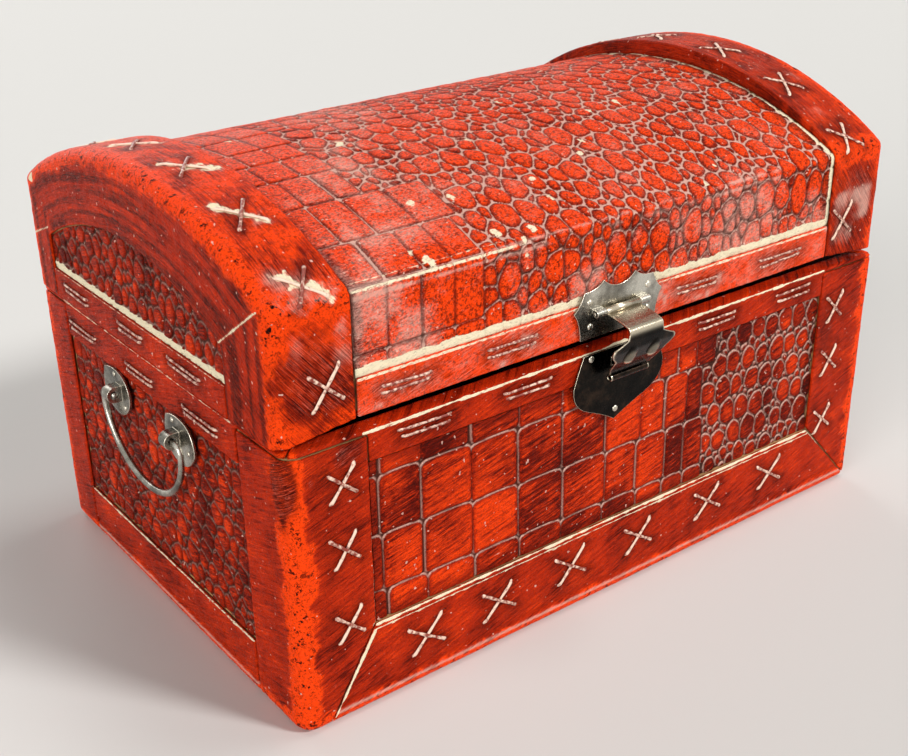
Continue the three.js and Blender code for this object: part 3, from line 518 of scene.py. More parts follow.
# The lid's section from the front wall's foot over the dome to the back wall's foot.
# along runs in millimetres on the section whose rise is midRise, and rise may be an array.
def lidSection(along, rise, midRise, inset, foot):
    form = trunkForm
    half = (form["lidBack"] - form["lidFront"]) / 2
    centreY = (form["lidBack"] + form["lidFront"]) / 2
    small = form["ridgeRadius"] - inset

    def parts(height):
        radius = (half**2 + height**2) / (2 * height)
        centreZ = form["ridgeHeight"] + height - radius
        radius = radius - inset
        roundY = half - inset - small
        roundZ = centreZ + np.sqrt((radius - small) ** 2 - roundY**2)
        meet = np.arctan2(roundZ - centreZ, roundY)
        return radius, centreZ, roundY, roundZ, meet

    def lengths(height):
        radius, _, _, roundZ, meet = parts(height)
        return [roundZ - foot, small * meet, radius * (np.pi - 2 * meet), small * meet, roundZ - foot]

    ends = np.cumsum(lengths(midRise))
    starts = np.concatenate([[0], ends[:-1]])
    along = np.clip(along, 0, ends[-1])
    radius, centreZ, roundY, roundZ, meet = parts(rise)
    section = np.clip(np.searchsorted(ends, along, side="left"), 0, 4)
    share = (along - starts[section]) / (ends - starts)[section]
    angles = [
        np.pi + 0 * share,
        np.pi - meet * share,
        np.pi - meet - (np.pi - 2 * meet) * share,
        meet - meet * share,
        0 * share,
    ]
    angle = np.choose(section, angles)
    outY, outZ = np.cos(angle), np.sin(angle)
    wallZ = np.choose(section, [foot + (roundZ - foot) * share, 0, 0, 0, roundZ - (roundZ - foot) * share])
    y = np.choose(section, [-roundY, -roundY, 0 * share, roundY, roundY])
    reach = np.choose(section, [small, small, radius, small, small])
    z = np.choose(section, [wallZ, roundZ + 0 * share, centreZ + 0 * share, roundZ + 0 * share, wallZ])
    return centreY + y + reach * outY, z + reach * outZ, outY, outZ


# Where stitches lie: crosses and pairs of bars on each face, in that face's own places

def flatFace(axis, level, out):
    def place(u, v):
        if axis == 1:
            return np.array([u, level, v]), np.array([0, out, 0])
        return np.array([level, u, v]), np.array([out, 0, 0])

    return place


def archFace(side):
    rise = trunkForm["archRises"][side]
    foot = trunkForm["lidFoot"]
    ridge = trunkForm["ridgeHeight"] - foot

    def place(u, v):
        y, z, outY, outZ = lidSection(np.array([ridge + v]), rise, rise, 0, foot)
        return np.array([u, y[0], z[0]]), np.array([0, outY[0], outZ[0]])

    return place


faces = {
    "front": flatFace(1, trunkForm["front"], -1),
    "back": flatFace(1, trunkForm["back"], 1),
    "left": flatFace(0, -trunkForm["halfWidth"], -1),
    "right": flatFace(0, trunkForm["halfWidth"], 1),
    "lidFront": flatFace(1, trunkForm["lidFront"], -1),
    "lidBack": flatFace(1, trunkForm["lidBack"], 1),
    "lidLeft": flatFace(0, -trunkForm["lidHalfWidth"], -1),
    "lidRight": flatFace(0, trunkForm["lidHalfWidth"], 1),
    "archLeft": archFace("left"),
    "archRight": archFace("right"),
}

# Middle places of the crosses, and the half width and half height of one
crosses = {
    "front_left_corner_strap": [("front", (-130.5, z), (6.4, 6.8)) for z in (97.7, 71.9, 40.8)],
    "front_right_corner_strap": [("front", (128.7, z), (6.0, 7.0)) for z in (94.1, 68.4, 38.6)],
    "front_foot_strap": [
        ("front", place, (9.0, 7.4))
        for place in ((-97.0, 21.3), (-63.2, 21.3), (-25.5, 22.2), (11.9, 21.4), (53.8, 22.6), (94.1, 22.6))
    ],
    "back_left_corner_strap": [("back", (-130.5, z), (6.2, 6.8)) for z in (96, 70, 40)],
    "back_right_corner_strap": [("back", (129.0, z), (6.2, 6.8)) for z in (96, 70, 40)],
    "back_foot_strap": [("back", (x, 21.6), (9.0, 7.2)) for x in (-96, -60, -22, 16, 55, 95)],
    "left_arch_strap": [("archLeft", (-136.0, s), (7.0, 8.6)) for s in (7, 46, 86, 126, 166, 202)]
    + [("lidFront", (-133.4, 133.4), (7.1, 8.1)), ("lidBack", (-134.0, 133.4), (7.1, 8.1))],
    "right_arch_strap": [("archRight", (133.5, s), (7.0, 8.6)) for s in (7, 46, 86, 126, 166, 206)]
    + [("lidFront", (129.5, 133.4), (7.1, 8.1)), ("lidBack", (132.0, 133.4), (7.1, 8.1))],
}

# Each pair of bars runs between two places at one height
bars = {
    "front_rim_strap": [
        ("front", run, 108.4) for run in ((-107.2, -83.9), (-60.8, -36.9), (40.0, 63.1), (87.4, 110.8))
    ],
    "back_rim_strap": [("back", run, 108.4) for run in ((-60, -37), (-11, 12), (37, 60))],
    "left_rim_strap": [("left", run, 104.8) for run in ((47.7, 75), (-4.8, 21.0), (-55.3, -26.7))],
    "right_rim_strap": [("right", run, 104.8) for run in ((47.7, 75), (-4.8, 21.0), (-55.3, -26.7))],
    "lid_front_rim_strap": [
        ("lidFront", run, 125.8) for run in ((-112.7, -90.0), (-67.2, -42.9), (28.0, 52.4), (76.7, 104.4))
    ],
    "lid_back_rim_strap": [("lidBack", run, 124.6) for run in ((-60, -37), (-11, 12), (37, 60))],
    "lid_left_rim_strap": [
        ("lidLeft", run, 122.0) for run in ((47.7, 73.0), (-1.9, 21.0), (-47.7, -21.0))
    ],
    "lid_right_rim_strap": [
        ("lidRight", run, 122.0) for run in ((47.7, 73.0), (-1.9, 21.0), (-47.7, -21.0))
    ],
}
barGap = 2.6  # between the two bars of a pair


# The threads of a node's stitches, each as the face and the two places that it joins.
def threadsOf(node):
    threads = []
    for face, (u, v), (halfU, halfV) in crosses.get(node, []):
        over = 0 if face == "archLeft" else 1
        threads.append((face, (u - halfU, v + halfV * 0.8), (u + halfU, v - halfV * 0.8), over))
        threads.append((face, (u - halfU * 0.8, v - halfV), (u + halfU * 0.8, v + halfV), 1 - over))
    for face, (left, right), v in bars.get(node, []):
        threads.append((face, (left, v + barGap / 2), (right, v + barGap / 2), 0))
        threads.append((face, (left + 0.8, v - barGap / 2), (right - 0.8, v - barGap / 2), 0))
    return threads


# How near a point is to one of the trunk's outer edges.
def arrisDistance(points, inLid, rise=0):
    form = trunkForm
    x, y, z = points.T
    if inLid:
        half = (form["lidBack"] - form["lidFront"]) / 2
        radius = (half**2 + rise**2) / (2 * rise)
        top = radius - np.hypot(y - form["lidBack"] + half, z - form["ridgeHeight"] - rise + radius)
        walls = np.minimum(y - form["lidFront"], form["lidBack"] - y)
        sides = [form["lidHalfWidth"] - np.abs(x), walls, top]
    else:
        walls = np.minimum(y - form["front"], form["back"] - y)
        sides = [form["halfWidth"] - np.abs(x), walls, z]
    return np.sort(np.stack(sides), axis=0)[1]


# Lines of old filler and dust along the seams: two ends, half a width, and how much is left.
def buildChalkLines():
    form = trunkForm
    front, back, half, lidHalf = form["front"], form["back"], form["halfWidth"], form["lidHalfWidth"]
    lidFront, lidBack = form["lidFront"], form["lidBack"]
    lines = [
        ((-120.5, front, 36.0), (118.5, front, 36.0), 0.75, 1.0),
        ((-120.5, front, 33.9), (118.5, front, 33.9), 0.6, 0.86),
        ((-120.5, front, 33.0), (-139.0, front, 4.0), 0.9, 0.92),
        ((118.0, front, 36.0), (135.0, front, 19.0), 0.7, 0.76),
        ((-121.0, front, 113.7), (118.0, front, 113.7), 0.8, 0.84),
        ((-9.0, front, 112.8), (0.0, front, 113.6), 1.4, 1.0),
        ((-121.0, lidFront, 132.4), (120.0, lidFront, 132.4), 0.7, 0.78),
        ((-lidHalf, -64.7, 143.3), (-lidHalf, -93.3, 163.5), 0.5, 1.0),
        ((-lidHalf, 80.0, 145.7), (-lidHalf, 101.0, 137.4), 0.5, 0.9),
        ((-lidHalf + 1, 92.0, 164.0), (-lidHalf + 4, 97.0, 162.0), 2.0, 1.0),
        ((-119.5, front, 101.0), (-119.5, front, 37.0), 0.5, 0.74),
        ((-120.5, back, 35.3), (118.5, back, 35.3), 1.1, 0.82),
        ((-121.0, lidBack, 132.4), (120.0, lidBack, 132.4), 0.7, 0.74),
    ]
    for side in (-1, 1):
        lines += [
            ((side * half, -67.0, 113.8), (side * half, 79.0, 113.8), 0.6, 0.76),
            ((side * half, -68.0, 24.3), (side * half, 77.0, 24.3), 0.8, 0.78),
            ((side * lidHalf, -66.0, 127.8), (side * lidHalf, 80.0, 127.8), 0.6, 0.7),
        ]
    return lines


chalkLines = buildChalkLines()

# Where white has been smeared over stitches and corners: middle, reach and how much is left. The first two,
# on the left arch's front top, are partly a painted highlight along its ridge.
smears = [
    ((-140.0, -92.0, 163.0), 13.0, 0.5),
    ((-130.0, -98.0, 160.0), 10.0, 0.55),
    ((-136.0, 96.0, 160.0), 12.0, 0.4),
    ((134.0, -40.0, 184.0), 12.0, 0.35),
    ((130.0, -75.0, 175.0), 10.0, 0.3),
]

# Patches where the paint has gone: middle, reach across and up, how dark and how dusty
sootPatches = [
    ((-152.0, -97.0, 101.0), (6.5, 15.0), 0.95, 0.22),
    ((-128.0, -101.0, 108.0), (9.0, 7.0), 0.5, 0.2),
    ((-137.0, -101.0, 138.0), (19.0, 19.0), 0.46, 0.2),
    ((125.0, -101.0, 80.0), (5.0, 16.0), 0.5, 0.2),
    ((138.0, -99.0, 142.0), (18.0, 16.0), 0.4, 0.26),
]

# How the paint is worn. A pair says where a change starts and where it is complete.
strapWear = {
    "patch": 6.0,
    "smallPatch": 2.2,
    "smallPatchShare": 0.6,
    "rubbedEdge": (1.5, 7.5),  # rubbed bright along the outer edges
    "rubbedMore": {"front_left_corner_strap": 2.0, "front_right_corner_strap": 1.0},
    "ragged": 2.6,
    "foldBend": (0.1, 0.26),  # paint wears thin on the folds inside the outer edges
    "foldInward": (4, 7),
    "foldRub": 0.55,
    "foldDust": 0.5,
    "foldChalk": (0.1, 0.6),
    "patchDust": (0.7, 1.5),
    "patchDustShare": 0.25,
    "smearWidth": (6.2, 0.2),  # filler smeared over the lower threads of the left arch
    "smearRagged": (2.2, 1.2),
    "smearChalk": 0.86,
    "smearDust": 0.4,
    "lineEdge": (0.6, 1.5),  # in shares of a chalk line's half width
    "lineRagged": 0.35,
    "threadReach": 3.4,
    "threadShade": 0.8,
    "bandStart": (5.5, 10),  # a darker band lies inside the rubbed edge
    "bandEnd": (12, 20),
    "bandShade": 0.35,
    "hollowBend": (-0.1, -0.3),
    "sootEdge": (1.1, 0.6),
    "sootRagged": 0.25,
    "sootShade": 1.2,
    "sootUnrub": 0.95,  # how much of the rubbed paint it covers
    "rimDust": 0.3,  # the lid's front rim is rubbed and dusty all over
    "rimRub": 0.5,
    "rollDust": 0.6,  # a pale line on the roll along the foot: a painted highlight
    "rollDustHeight": 5.2,
    "rollDustWidth": 1.1,
    "brushTurn": 18,  # degrees that the brush marks lie off a strap's length
}


# The arches' end faces carry dark brush marks along the arch, and their tops are rubbed and dusty.
archWear = {
    "endFacing": (0.4, 0.8),
    "markWidth": 1.6,
    "markLength": 40,
    "markEdge": (3, 8),
    "markShade": 0.45,
    "uneven": 0.25,
    "topRub": 0.3,
    "topRubShare": {"left": 1.0, "right": 0.4},
    "topDust": {"left": 0.25, "right": 0.4},
    "topPatch": 9,
    "topShade": {"left": 0.0, "right": 0.3},
    "topShadeEdge": (4, 9),
}


# Presses the threads' dents into a strap. Returns its depth, the painted shade round the threads and the
# smears.
def pressThreads(node, points, depth):
    shape, wear = strapShape, strapWear
    shade = np.zeros(len(points))
    smear = np.zeros(len(points))
    for face, start, end, over in threadsOf(node):
        a, b = faces[face](*start)[0], faces[face](*end)[0]
        if face.startswith("arch"):
            middle = faces[face](*((np.array(start) + end) / 2))[0]
            away = np.minimum(distanceToLine(points, a, middle), distanceToLine(points, middle, b))
        else:
            away = distanceToLine(points, a, b)
        dent = shape["upperDentShare"] if over else 1
        depth += shape["dentDepth"] * np.exp(-((away / shape["dentWidth"]) ** 2)) * dent
        shade = np.maximum(shade, np.exp(-((away / wear["threadReach"]) ** 2)))
        if face == "archLeft" and not over:
            coarse, fine = wear["smearRagged"]
            feathered = away + coarse * softNoise(points, 3, 15) + fine * softNoise(points, 1.5, 18)
            smear = np.maximum(smear, smoothStep(*wear["smearWidth"], feathered))
    return depth, shade, smear


# How bare, grimy and dusty an arch strap is, on top of the wear that it shares with all straps.
def wearArch(side, points, normals, arris, rough, grime, dust):
    wear = archWear
    endFace = smoothStep(*wear["endFacing"], np.abs(normals[:, 0]))
    top = 1 - endFace
    lengthwise = [arris / wear["markWidth"], points[:, 1] / wear["markLength"], 0 * arris]
    marks = softNoise(np.stack(lengthwise, axis=1), 1, 16)
    shade = wear["markShade"] + wear["uneven"] * rough + marks
    grime = grime + endFace * smoothStep(*wear["markEdge"], arris) * shade
    rub = wear["topRubShare"][side] * (wear["topRub"] + wear["uneven"] * rough)
    bare = top * (1 - smoothStep(0.2, 1.0, grime)) * rub
    patches = smoothStep(0.0, 1.2, softNoise(points, wear["topPatch"], 14))
    dust = dust + wear["topDust"][side] * top * patches
    inner = smoothStep(*wear["topShadeEdge"], arris)
    grime = grime + wear["topShade"][side] * top * inner * (0.7 + 0.5 * rough)
    return bare, grime, dust


# The masks of a strap's paint. arris is how far in from an outer edge a point lies.
def strapMasks(node, side, points, normals, bend, arris, threadShade, smear):
    wear = strapWear
    rough = softNoise(points, wear["patch"], 12)
    rough += wear["smallPatchShare"] * softNoise(points, wear["smallPatch"], 13)
    near, far = np.array(wear["rubbedEdge"]) + wear["rubbedMore"].get(node, 0.0)
    worn = 1 - smoothStep(near, far, arris + wear["ragged"] * rough)
    thin = smoothStep(*wear["foldBend"], bend) * smoothStep(*wear["foldInward"], arris)
    chalk = wear["smearChalk"] * smear + thin * smoothStep(*wear["foldChalk"], 0.1 + 0.5 * rough)
    inner, outer = wear["lineEdge"]
    for start, end, half, share in chalkLines:
        away = distanceToLine(points, np.array(start), np.array(end)) + wear["lineRagged"] * rough * half
        chalk = np.maximum(chalk, share * (1 - smoothStep(half * inner, half * outer, away)))
    dust = wear["foldDust"] * thin + wear["patchDustShare"] * smoothStep(*wear["patchDust"], rough)
    dust = dust + wear["smearDust"] * smear
    bare = 0.0
    if node == "lid_front_rim_strap":
        dust += wear["rimDust"] + 0.1 * rough
        bare = wear["rimRub"]
    for middle, reach, share in smears:
        away = np.linalg.norm(points - middle, axis=1) / reach
        left = smoothStep(-0.5, 1.0, rough + normals[:, 2])
        dust = np.maximum(dust, share * left * np.exp(-(away**2)))
    band = smoothStep(*wear["bandStart"], arris) * (1 - smoothStep(*wear["bandEnd"], arris))
    # Painted shade round the stitches, and a darker band inside the rubbed edge
    grime = wear["threadShade"] * threadShade + wear["bandShade"] * band * (0.5 + 0.5 * rough)
    grime = grime + smoothStep(*wear["hollowBend"], bend)
    for middle, (reach, tall), dark, dusty in sootPatches:
        gap = points - middle
        away = np.hypot(np.hypot(gap[:, 0], gap[:, 1]) / reach, gap[:, 2] / tall)
        soot = smoothStep(*wear["sootEdge"], away + wear["sootRagged"] * rough)
        grime = np.maximum(grime, wear["sootShade"] * dark * soot)
        dust = np.maximum(dust, dusty * soot * (1 + 0.4 * rough))
        worn = worn * (1 - wear["sootUnrub"] * soot)
    if "foot" in node:
        # A pale line along the foot's roll, in the dust colour: a painted highlight
        wall = 1 - smoothStep(0.3, 0.7, np.abs(normals[:, 2]))
        away = (points[:, 2] - wear["rollDustHeight"]) / wear["rollDustWidth"]
        dust = np.maximum(dust, wall * wear["rollDust"] * np.exp(-(away**2)))
    if "arch" in node:
        bare, grime, dust = wearArch(side, points, normals, arris, rough, grime, dust)
    rubbed = np.maximum(np.maximum(worn, wear["foldRub"] * thin), bare)
    return {"wear": rubbed, "chalk": chalk, "grime": grime * (1 - chalk), "dust": dust}


# Coordinates along which the brush marks run: round the dome on the arches, aslant elsewhere.
def strapBrush(node, side, rise, points):
    form = trunkForm
    x, y, z = points.T
    if "arch" in node:
        half = (form["lidBack"] - form["lidFront"]) / 2
        radius = (half**2 + rise**2) / (2 * rise)
        middleZ = form["ridgeHeight"] + rise - radius
        middleY = form["lidBack"] - half
        along = np.arctan2(z - middleZ, y - middleY) * radius
        across = x + np.hypot(z - middleZ, y - middleY)
    else:
        turn = math.radians(strapWear["brushTurn"])
        run = x + (y if side == "right" else -y)
        along = run * math.cos(turn) + z * math.sin(turn)
        across = z * math.cos(turn) - run * math.sin(turn)
    return np.stack([along, across, 0 * x], axis=1)


def buildStrap(node):
    shape = strapShape
    form = trunkForm
    mesh = softenedCopy(node)
    points = pointsOf(mesh)
    normals = normalsOf(mesh)
    bend = convexity(mesh, points, normals)
    side = "left" if points[:, 0].mean() < 0 else "right"
    rise = form["archRises"][side] if "arch" in node else sum(form["domeRises"]) / 2
    arris = arrisDistance(points, nodes[node]["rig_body"] == "lid", rise)
    uneven = softNoise(points, shape["lump"], 7)
    uneven += shape["smallLumpShare"] * softNoise(points, shape["lump"] / 3, 8)
    depth = shape["sag"] * (0.5 + uneven / 2.8)
    depth += shape["pebble"] * (0.5 + softNoise(points, shape["pebbleSize"], 9) / 2)
    depth, threadShade, smear = pressThreads(node, points, depth)
    if "foot" in node:
        away = (points[:, 2] - shape["rollHeight"]) / shape["rollWidth"]
        depth += shape["rollGroove"] * np.exp(-(away**2)) * (arris > shape["rollEnd"])
    movePoints(mesh, points - normals * depth[:, None])
    masks = strapMasks(node, side, points, normals, bend, arris, threadShade, smear)
    for name, values in masks.items():
        setMask(mesh, name, values)
    setBrush(mesh, strapBrush(node, side, rise, points))
    piece = newPiece(node.replace("strap", "hide_strap"), mesh, strapHide)
    standFor(piece, node)
    return len(mesh.polygons)


def buildStraps():
    count = sum(buildStrap(node) for node in sorted(nodes) if node.endswith("_strap"))
    print("straps made with", count, "faces")


buildStraps()


# Pebbled and squared scales, pressed into the panels' hide

panelShape = {
    "grooveDepth": 0.5,
    "grooveFloor": 0.12,  # half a groove's flat floor
    "crownWidth": 1.5,
    "uneven": 0.14,
    "lump": 9,  # distance between high spots, and between small ones
    "smallLump": 3.5,
    "wallFacing": (0.3, 0.75),  # how far up a place may face and still be a wall
    "ledgeFacing": (0.0, 0.32),  # dust and a painted highlight lie where a wall's scales face upwards
    "sideFacing": (0.12, 0.4),
    "shadeRagged": 2,
    "putty": 0.6,  # how thick old filler lies in the grooves, up to the hide's face
    "deepest": 1.0,  # the boards lie 1.1 mm under the hide's face
    "skirt": 0.8,
    "shift": 0.5,  # how far a square scale may lie off its place
    "lean": 0.02,  # and how far it may lean
    "unitOfBorder": 5.0,  # the border attribute is in shares of this
    "overlap": 8,  # how far past a panel's edges scales are laid out
}


def squareScales(rows, droop, start):
    squares = []
    for row in rows:
        low, high = row["between"]
        for left, right in zip(row["edges"], row["edges"][1:]):
            middle = (left + right) / 2
            drop = droop * (middle - start)
            squares.append((middle, (low + high) / 2 - drop, (right - left) / 2, (high - low) / 2))
    return squares


# Oval scales in uneven rows, and then ever smaller ones tried at random in what is left free.
# Everything is laid out with v divided by the ovals' height over their width.
def ovalScales(low, high, values, seed, keepOut):
    rng = np.random.default_rng(seed)
    tall = values["tall"]
    low, high = np.array(low) - panelShape["overlap"], np.array(high) + panelShape["overlap"]
    placed = np.empty((0, 3))
    for row, middle in enumerate(np.arange(low[1], high[1], values["rowPitch"])):
        start = low[0] + (row % 2 * 0.5 + 0.3 * rng.random()) * values["spacing"]
        for u in np.arange(start, high[0], values["spacing"]):
            spot = np.array([u, middle - values["slope"] * (u - low[0])])
            spot += values["jitter"] * (rng.random(2) * 2 - 1)
            size = values["radius"] * (1 + values["spread"] * (rng.random() * 2 - 1))
            if rng.random() > values["missing"] and not keepOut(*spot, size):
                placed = np.vstack([placed, [spot[0], spot[1] / tall, size]])
    for radius, tries, spread in values["fillers"]:
        for _ in range(tries):
            spot = low + (high - low) * rng.random(2)
            size = radius * (1 + spread * (rng.random() * 2 - 1))
            if keepOut(*spot, size):
                continue
            gap = np.hypot(placed[:, 0] - spot[0], placed[:, 1] - spot[1] / tall)
            if np.all(gap > values["packing"] * (placed[:, 2] + size)):
                placed = np.vstack([placed, [spot[0], spot[1] / tall, size]])
    return placed


def window(places, centre, half):
    reach = half + panelShape["overlap"]
    return slice(*np.searchsorted(places, (centre - reach, centre + reach)))


# Distance of every grid point to the border of its round scale, and each scale's tone.
# A border runs halfway between two scales and is rounded where three meet.
def roundBorders(u, v, rounds, look, rng):
    tall, soft = look["tall"], look["rounding"]
    shape = (len(v), len(u))

    # The three scales nearest to each point, by its power distance to them
    nearest = np.full((3, *shape), 1e6)
    owner = np.zeros((3, *shape), int)
    for index, (cu, cv, size) in enumerate(rounds):
        part = window(v / tall, cv, size + 1), window(u, cu, size + 1)
        du, dv = u[part[1]][None, :] - cu, v[part[0]][:, None] / tall - cv
        power = du**2 + dv**2 - size**2
        if power.size == 0:
            continue
        for rank in range(3):
            held, mine = nearest[rank][part], owner[rank][part]
            closer = power < held
            swap, swapOwner = np.where(closer, held, power), np.where(closer, mine, index)
            nearest[rank][part] = np.where(closer, power, held)
            owner[rank][part] = np.where(closer, index, mine)
            power, index = swap, swapOwner
    border, tone = np.full(shape, 3.0), np.full(shape, 0.5)
    if len(rounds):
        spots = rounds[:, :2]
        tone = rng.random(len(rounds))[owner[0]]
        walls = []
        for rank in (1, 2):
            apart = np.linalg.norm(spots[owner[rank]] - spots[owner[0]], axis=-1)
            walls.append((nearest[rank] - nearest[0]) / (2 * np.maximum(apart, 0.5)))
        border = -soft * np.log(sum(np.exp(-np.clip(wall, 0, 12) / soft) for wall in walls))
    return border, tone


# The same over the whole panel, where square scales take the place of the round ones.
# A square scale has round corners and an arched top, and lies a little off its place.
def scaleBorders(u, v, squares, rounds, look):
    rng = np.random.default_rng(look["seed"])
    border, tone = roundBorders(u, v, rounds, look, rng)
    far = 50.0
    away, inSquare = np.full(border.shape, far), np.full(border.shape, -far)
    corner, soft = look["corner"], look["rounding"]
    for cu, cv, halfU, halfV in squares:
        cu = cu + rng.uniform(-panelShape["shift"], panelShape["shift"])
        lean = rng.uniform(-panelShape["lean"], panelShape["lean"])
        part = window(v, cv, halfV), window(u, cu, halfU)
        du, dv = u[part[1]][None, :] - cu, v[part[0]][:, None] - cv
        du, dv = du + lean * dv, dv - lean * du
        dv = dv - look["arch"] * (1 - np.minimum(np.abs(du / halfU), 1) ** 3)
        a, b = halfU - np.abs(du), halfV - np.abs(dv)
        inner = corner - np.hypot(np.maximum(corner - a, 0), np.maximum(corner - b, 0))
        inner = np.where((a < corner) | (b < corner), inner, np.minimum(a, b))
        outer = np.hypot(np.maximum(-a, 0), np.maximum(-b, 0))
        away[part] = np.minimum(away[part], outer)
        inside = (a > 0) & (b > 0)
        inSquare[part] = np.maximum(inSquare[part], np.where(inside, inner, -far))
        tone[part] = np.where(inside, rng.random(), tone[part])
    mixed = -soft * np.log(np.exp(-border / soft) + np.exp(-np.clip(away, 0, 30) / soft))
    return np.where(away > 0, mixed, np.maximum(inSquare, 0)), tone


# Even steps between the stops, each stretch at its own pitch.
def gridLines(stops, pitches):
    lines = [np.array(stops[:1], float)]
    for start, end, pitch in zip(stops, stops[1:], pitches):
        lines.append(np.linspace(start, end, math.ceil((end - start) / pitch) + 1)[1:])
    return np.concatenate(lines)


# The masks of a panel's paint. base and outward are its places and directions before they sank,
# and edge is how far in from the panel's edge they lie.
def panelMasks(mesh, base, outward, uv, edge, border, look):
    shape = panelShape
    wall = 1 - smoothStep(*shape["wallFacing"], outward[:, 2])
    normals = normalsOf(mesh)
    # Groove walls that face up get dust and a painted highlight; walls that face the light's side get a
    # painted highlight
    ledge = look["dust"] * smoothStep(*shape["ledgeFacing"], normals[:, 2])
    sideLit = look["sideDust"] * smoothStep(*shape["sideFacing"], normals @ np.array(look["litSide"]))
    # Painted shade along the panel's edges, where it meets the straps
    ragged = edge + shape["shadeRagged"] * softNoise(base, 6, 5)
    shade = 1 - smoothStep(0, look["shadeWidth"], ragged)
    return {
        "border": border / shape["unitOfBorder"],
        "lit": wall * np.maximum(ledge, sideLit) + (1 - wall) * look["topDust"],
        "dust": look["haze"](base, uv),
        "grime": look["borderShade"] * shade + look["shade"](base),
        # Rubbed bright on each scale's raised middle: partly wear, partly a painted highlight that makes
        # the scales look domed
        "wear": look["wear"] * smoothStep(0.2, 2.2, border) * (1 - shade),
    }


# Folds a panel's free edges back, so that no light passes under it.
def foldEdges(mesh, depth):
    bm = bmesh.new()
    bm.from_mesh(mesh)
    bmesh.ops.remove_doubles(bm, verts=bm.verts, dist=0.02 * mm)
    rim = [edge for edge in bm.edges if edge.is_boundary]
    skirt = bmesh.ops.extrude_edge_only(bm, edges=rim)
    for vertex in (item for item in skirt["geom"] if isinstance(item, bmesh.types.BMVert)):
        vertex.co -= vertex.normal * depth * mm
    bm.to_mesh(mesh)
    bm.free()


# A panel as a fine grid whose points go to place(u, v), sunk where the scales' grooves run.
def pressedPanel(node, name, u, v, place, squares, rounds, look):
    shape = panelShape
    counts = np.array([len(u) - 1, len(v) - 1])
    mesh, flat = flatGrid(name, int(counts[0]), int(counts[1]))
    index = np.rint((flat - flat.min(axis=0)) / np.ptp(flat, axis=0) * counts).astype(int)
    border, tone = [grid[index[:, 1], index[:, 0]] for grid in scaleBorders(u, v, squares, rounds, look)]
    uv = np.stack([u[index[:, 0]], v[index[:, 1]]], axis=1)
    base, outward = place(uv[:, 0], uv[:, 1])
    groove = 1 - smoothStep(shape["grooveFloor"], look["grooveWidth"], border)
    uneven = softNoise(base, shape["lump"], 3) + 0.5 * softNoise(base, shape["smallLump"], 4)
    height = -shape["grooveDepth"] * groove - look["crown"] * np.exp(-border / shape["crownWidth"])
    height -= shape["uneven"] * (0.5 + uneven / 3)
    chalk = look["chalk"](base)
    height = np.maximum(height, -shape["deepest"])
    height += np.minimum(shape["putty"] * chalk, -height)
    movePoints(mesh, base + outward * height[:, None])
    edge = np.minimum(uv - [u[0], v[0]], [u[-1], v[-1]] - uv).min(axis=1)
    masks = panelMasks(mesh, base, outward, uv, edge, border, look)
    for mask, values in dict(masks, tone=tone, chalk=chalk).items():
        setMask(mesh, mask, values)
    turn = math.radians(look["brushTurn"])
    along = uv[:, 0] * math.cos(turn) + uv[:, 1] * math.sin(turn)
    across = uv[:, 1] * math.cos(turn) - uv[:, 0] * math.sin(turn)
    setBrush(mesh, np.stack([along, across, height * 3], axis=1))
    foldEdges(mesh, shape["skirt"])
    piece = newPiece(name, mesh, look["hide"])
    standFor(piece, node)
    print(name, 2 * len(mesh.polygons), "triangles")


# No shade, dust or putty of its own.
def nowhere(*places):
    return np.zeros(len(places[0]))


# Where nothing is in their way, scales may lie anywhere.
def anywhere(*spot):
    return False


# Shade that gathers along a panel's right edge, under the strap beside it.
def rightShade(node, share, reach, ragged, seed):
    edge = boxOf(node)[1][0]

    def shade(base):
        return share * smoothStep(-reach, -2, base[:, 0] - edge + ragged * softNoise(base, 5, seed))

    return shade


# The low and high corner of an upright panel, and its place(u, v). From outside, u runs right.
def upright(node, side):
    low, high = boxOf(node)
    lengthwise = side in ("front", "back")
    turn = 1 if side in ("front", "right") else -1
    run = 0 if lengthwise else 1
    level = (low if side in ("front", "left") else high)[1 - run]
    span = sorted((turn * low[run], turn * high[run]))
    out = -turn if lengthwise else turn

    def place(u, v):
        still = np.zeros_like(u)
        if lengthwise:
            return np.stack([turn * u, level + still, v], 1), np.stack([still, still + out, still], 1)
        return np.stack([level + still, turn * u, v], 1), np.stack([still + out, still, still], 1)

    return (span[0], low[2]), (span[1], high[2]), place


def panelLines(low, high, pitch):
    return [gridLines((low[i], high[i]), [pitch]) for i in (0, 1)]


frontScales = {
    "rows": [
        {
            "between": (24, 47.5),
            "edges": [-140, -113.4, -95.8, -73.9, -52.4, -31, -8.6, 10.5, 25.7, 38.1, 49.6],
        },
        {
            "between": (47.5, 70.5),
            "edges": [-140, -114.5, -96.8, -74.5, -52.4, -30, -7.5, 9.5, 26.3, 37, 48.5],
        },
        {
            "between": (70.5, 94.3),
            "edges": [-140, -116, -98, -75, -52.8, -31, -8.6, 11.2, 24.7, 37.5, 46.6],
        },
        {
            "between": (94.3, 120),
            "edges": [-140, -115, -97, -75.4, -53, -31.5, -9, 8, 20.5, 31, 42, 54],
        },
    ],
    "droop": 0.036,  # the rows sink to the right by this share, from x = start
    "start": -113.0,
    "roundFrom": 49.0,  # x where the square scales give way to round ones
    "tall": 1.25,  # the ovals' height over their width
    "rowPitch": 11.6,
    "spacing": 8.9,
    "slope": 0.04,
    "jitter": 0.8,
    "radius": 4.3,
    "spread": 0.16,  # how much the sizes differ
    "missing": 0.06,
    "packing": 0.86,
    "fillers": [(2.6, 400, 0.2), (1.7, 1500, 0.2), (1.2, 900, 0.2)],  # radius, tries and spread
}
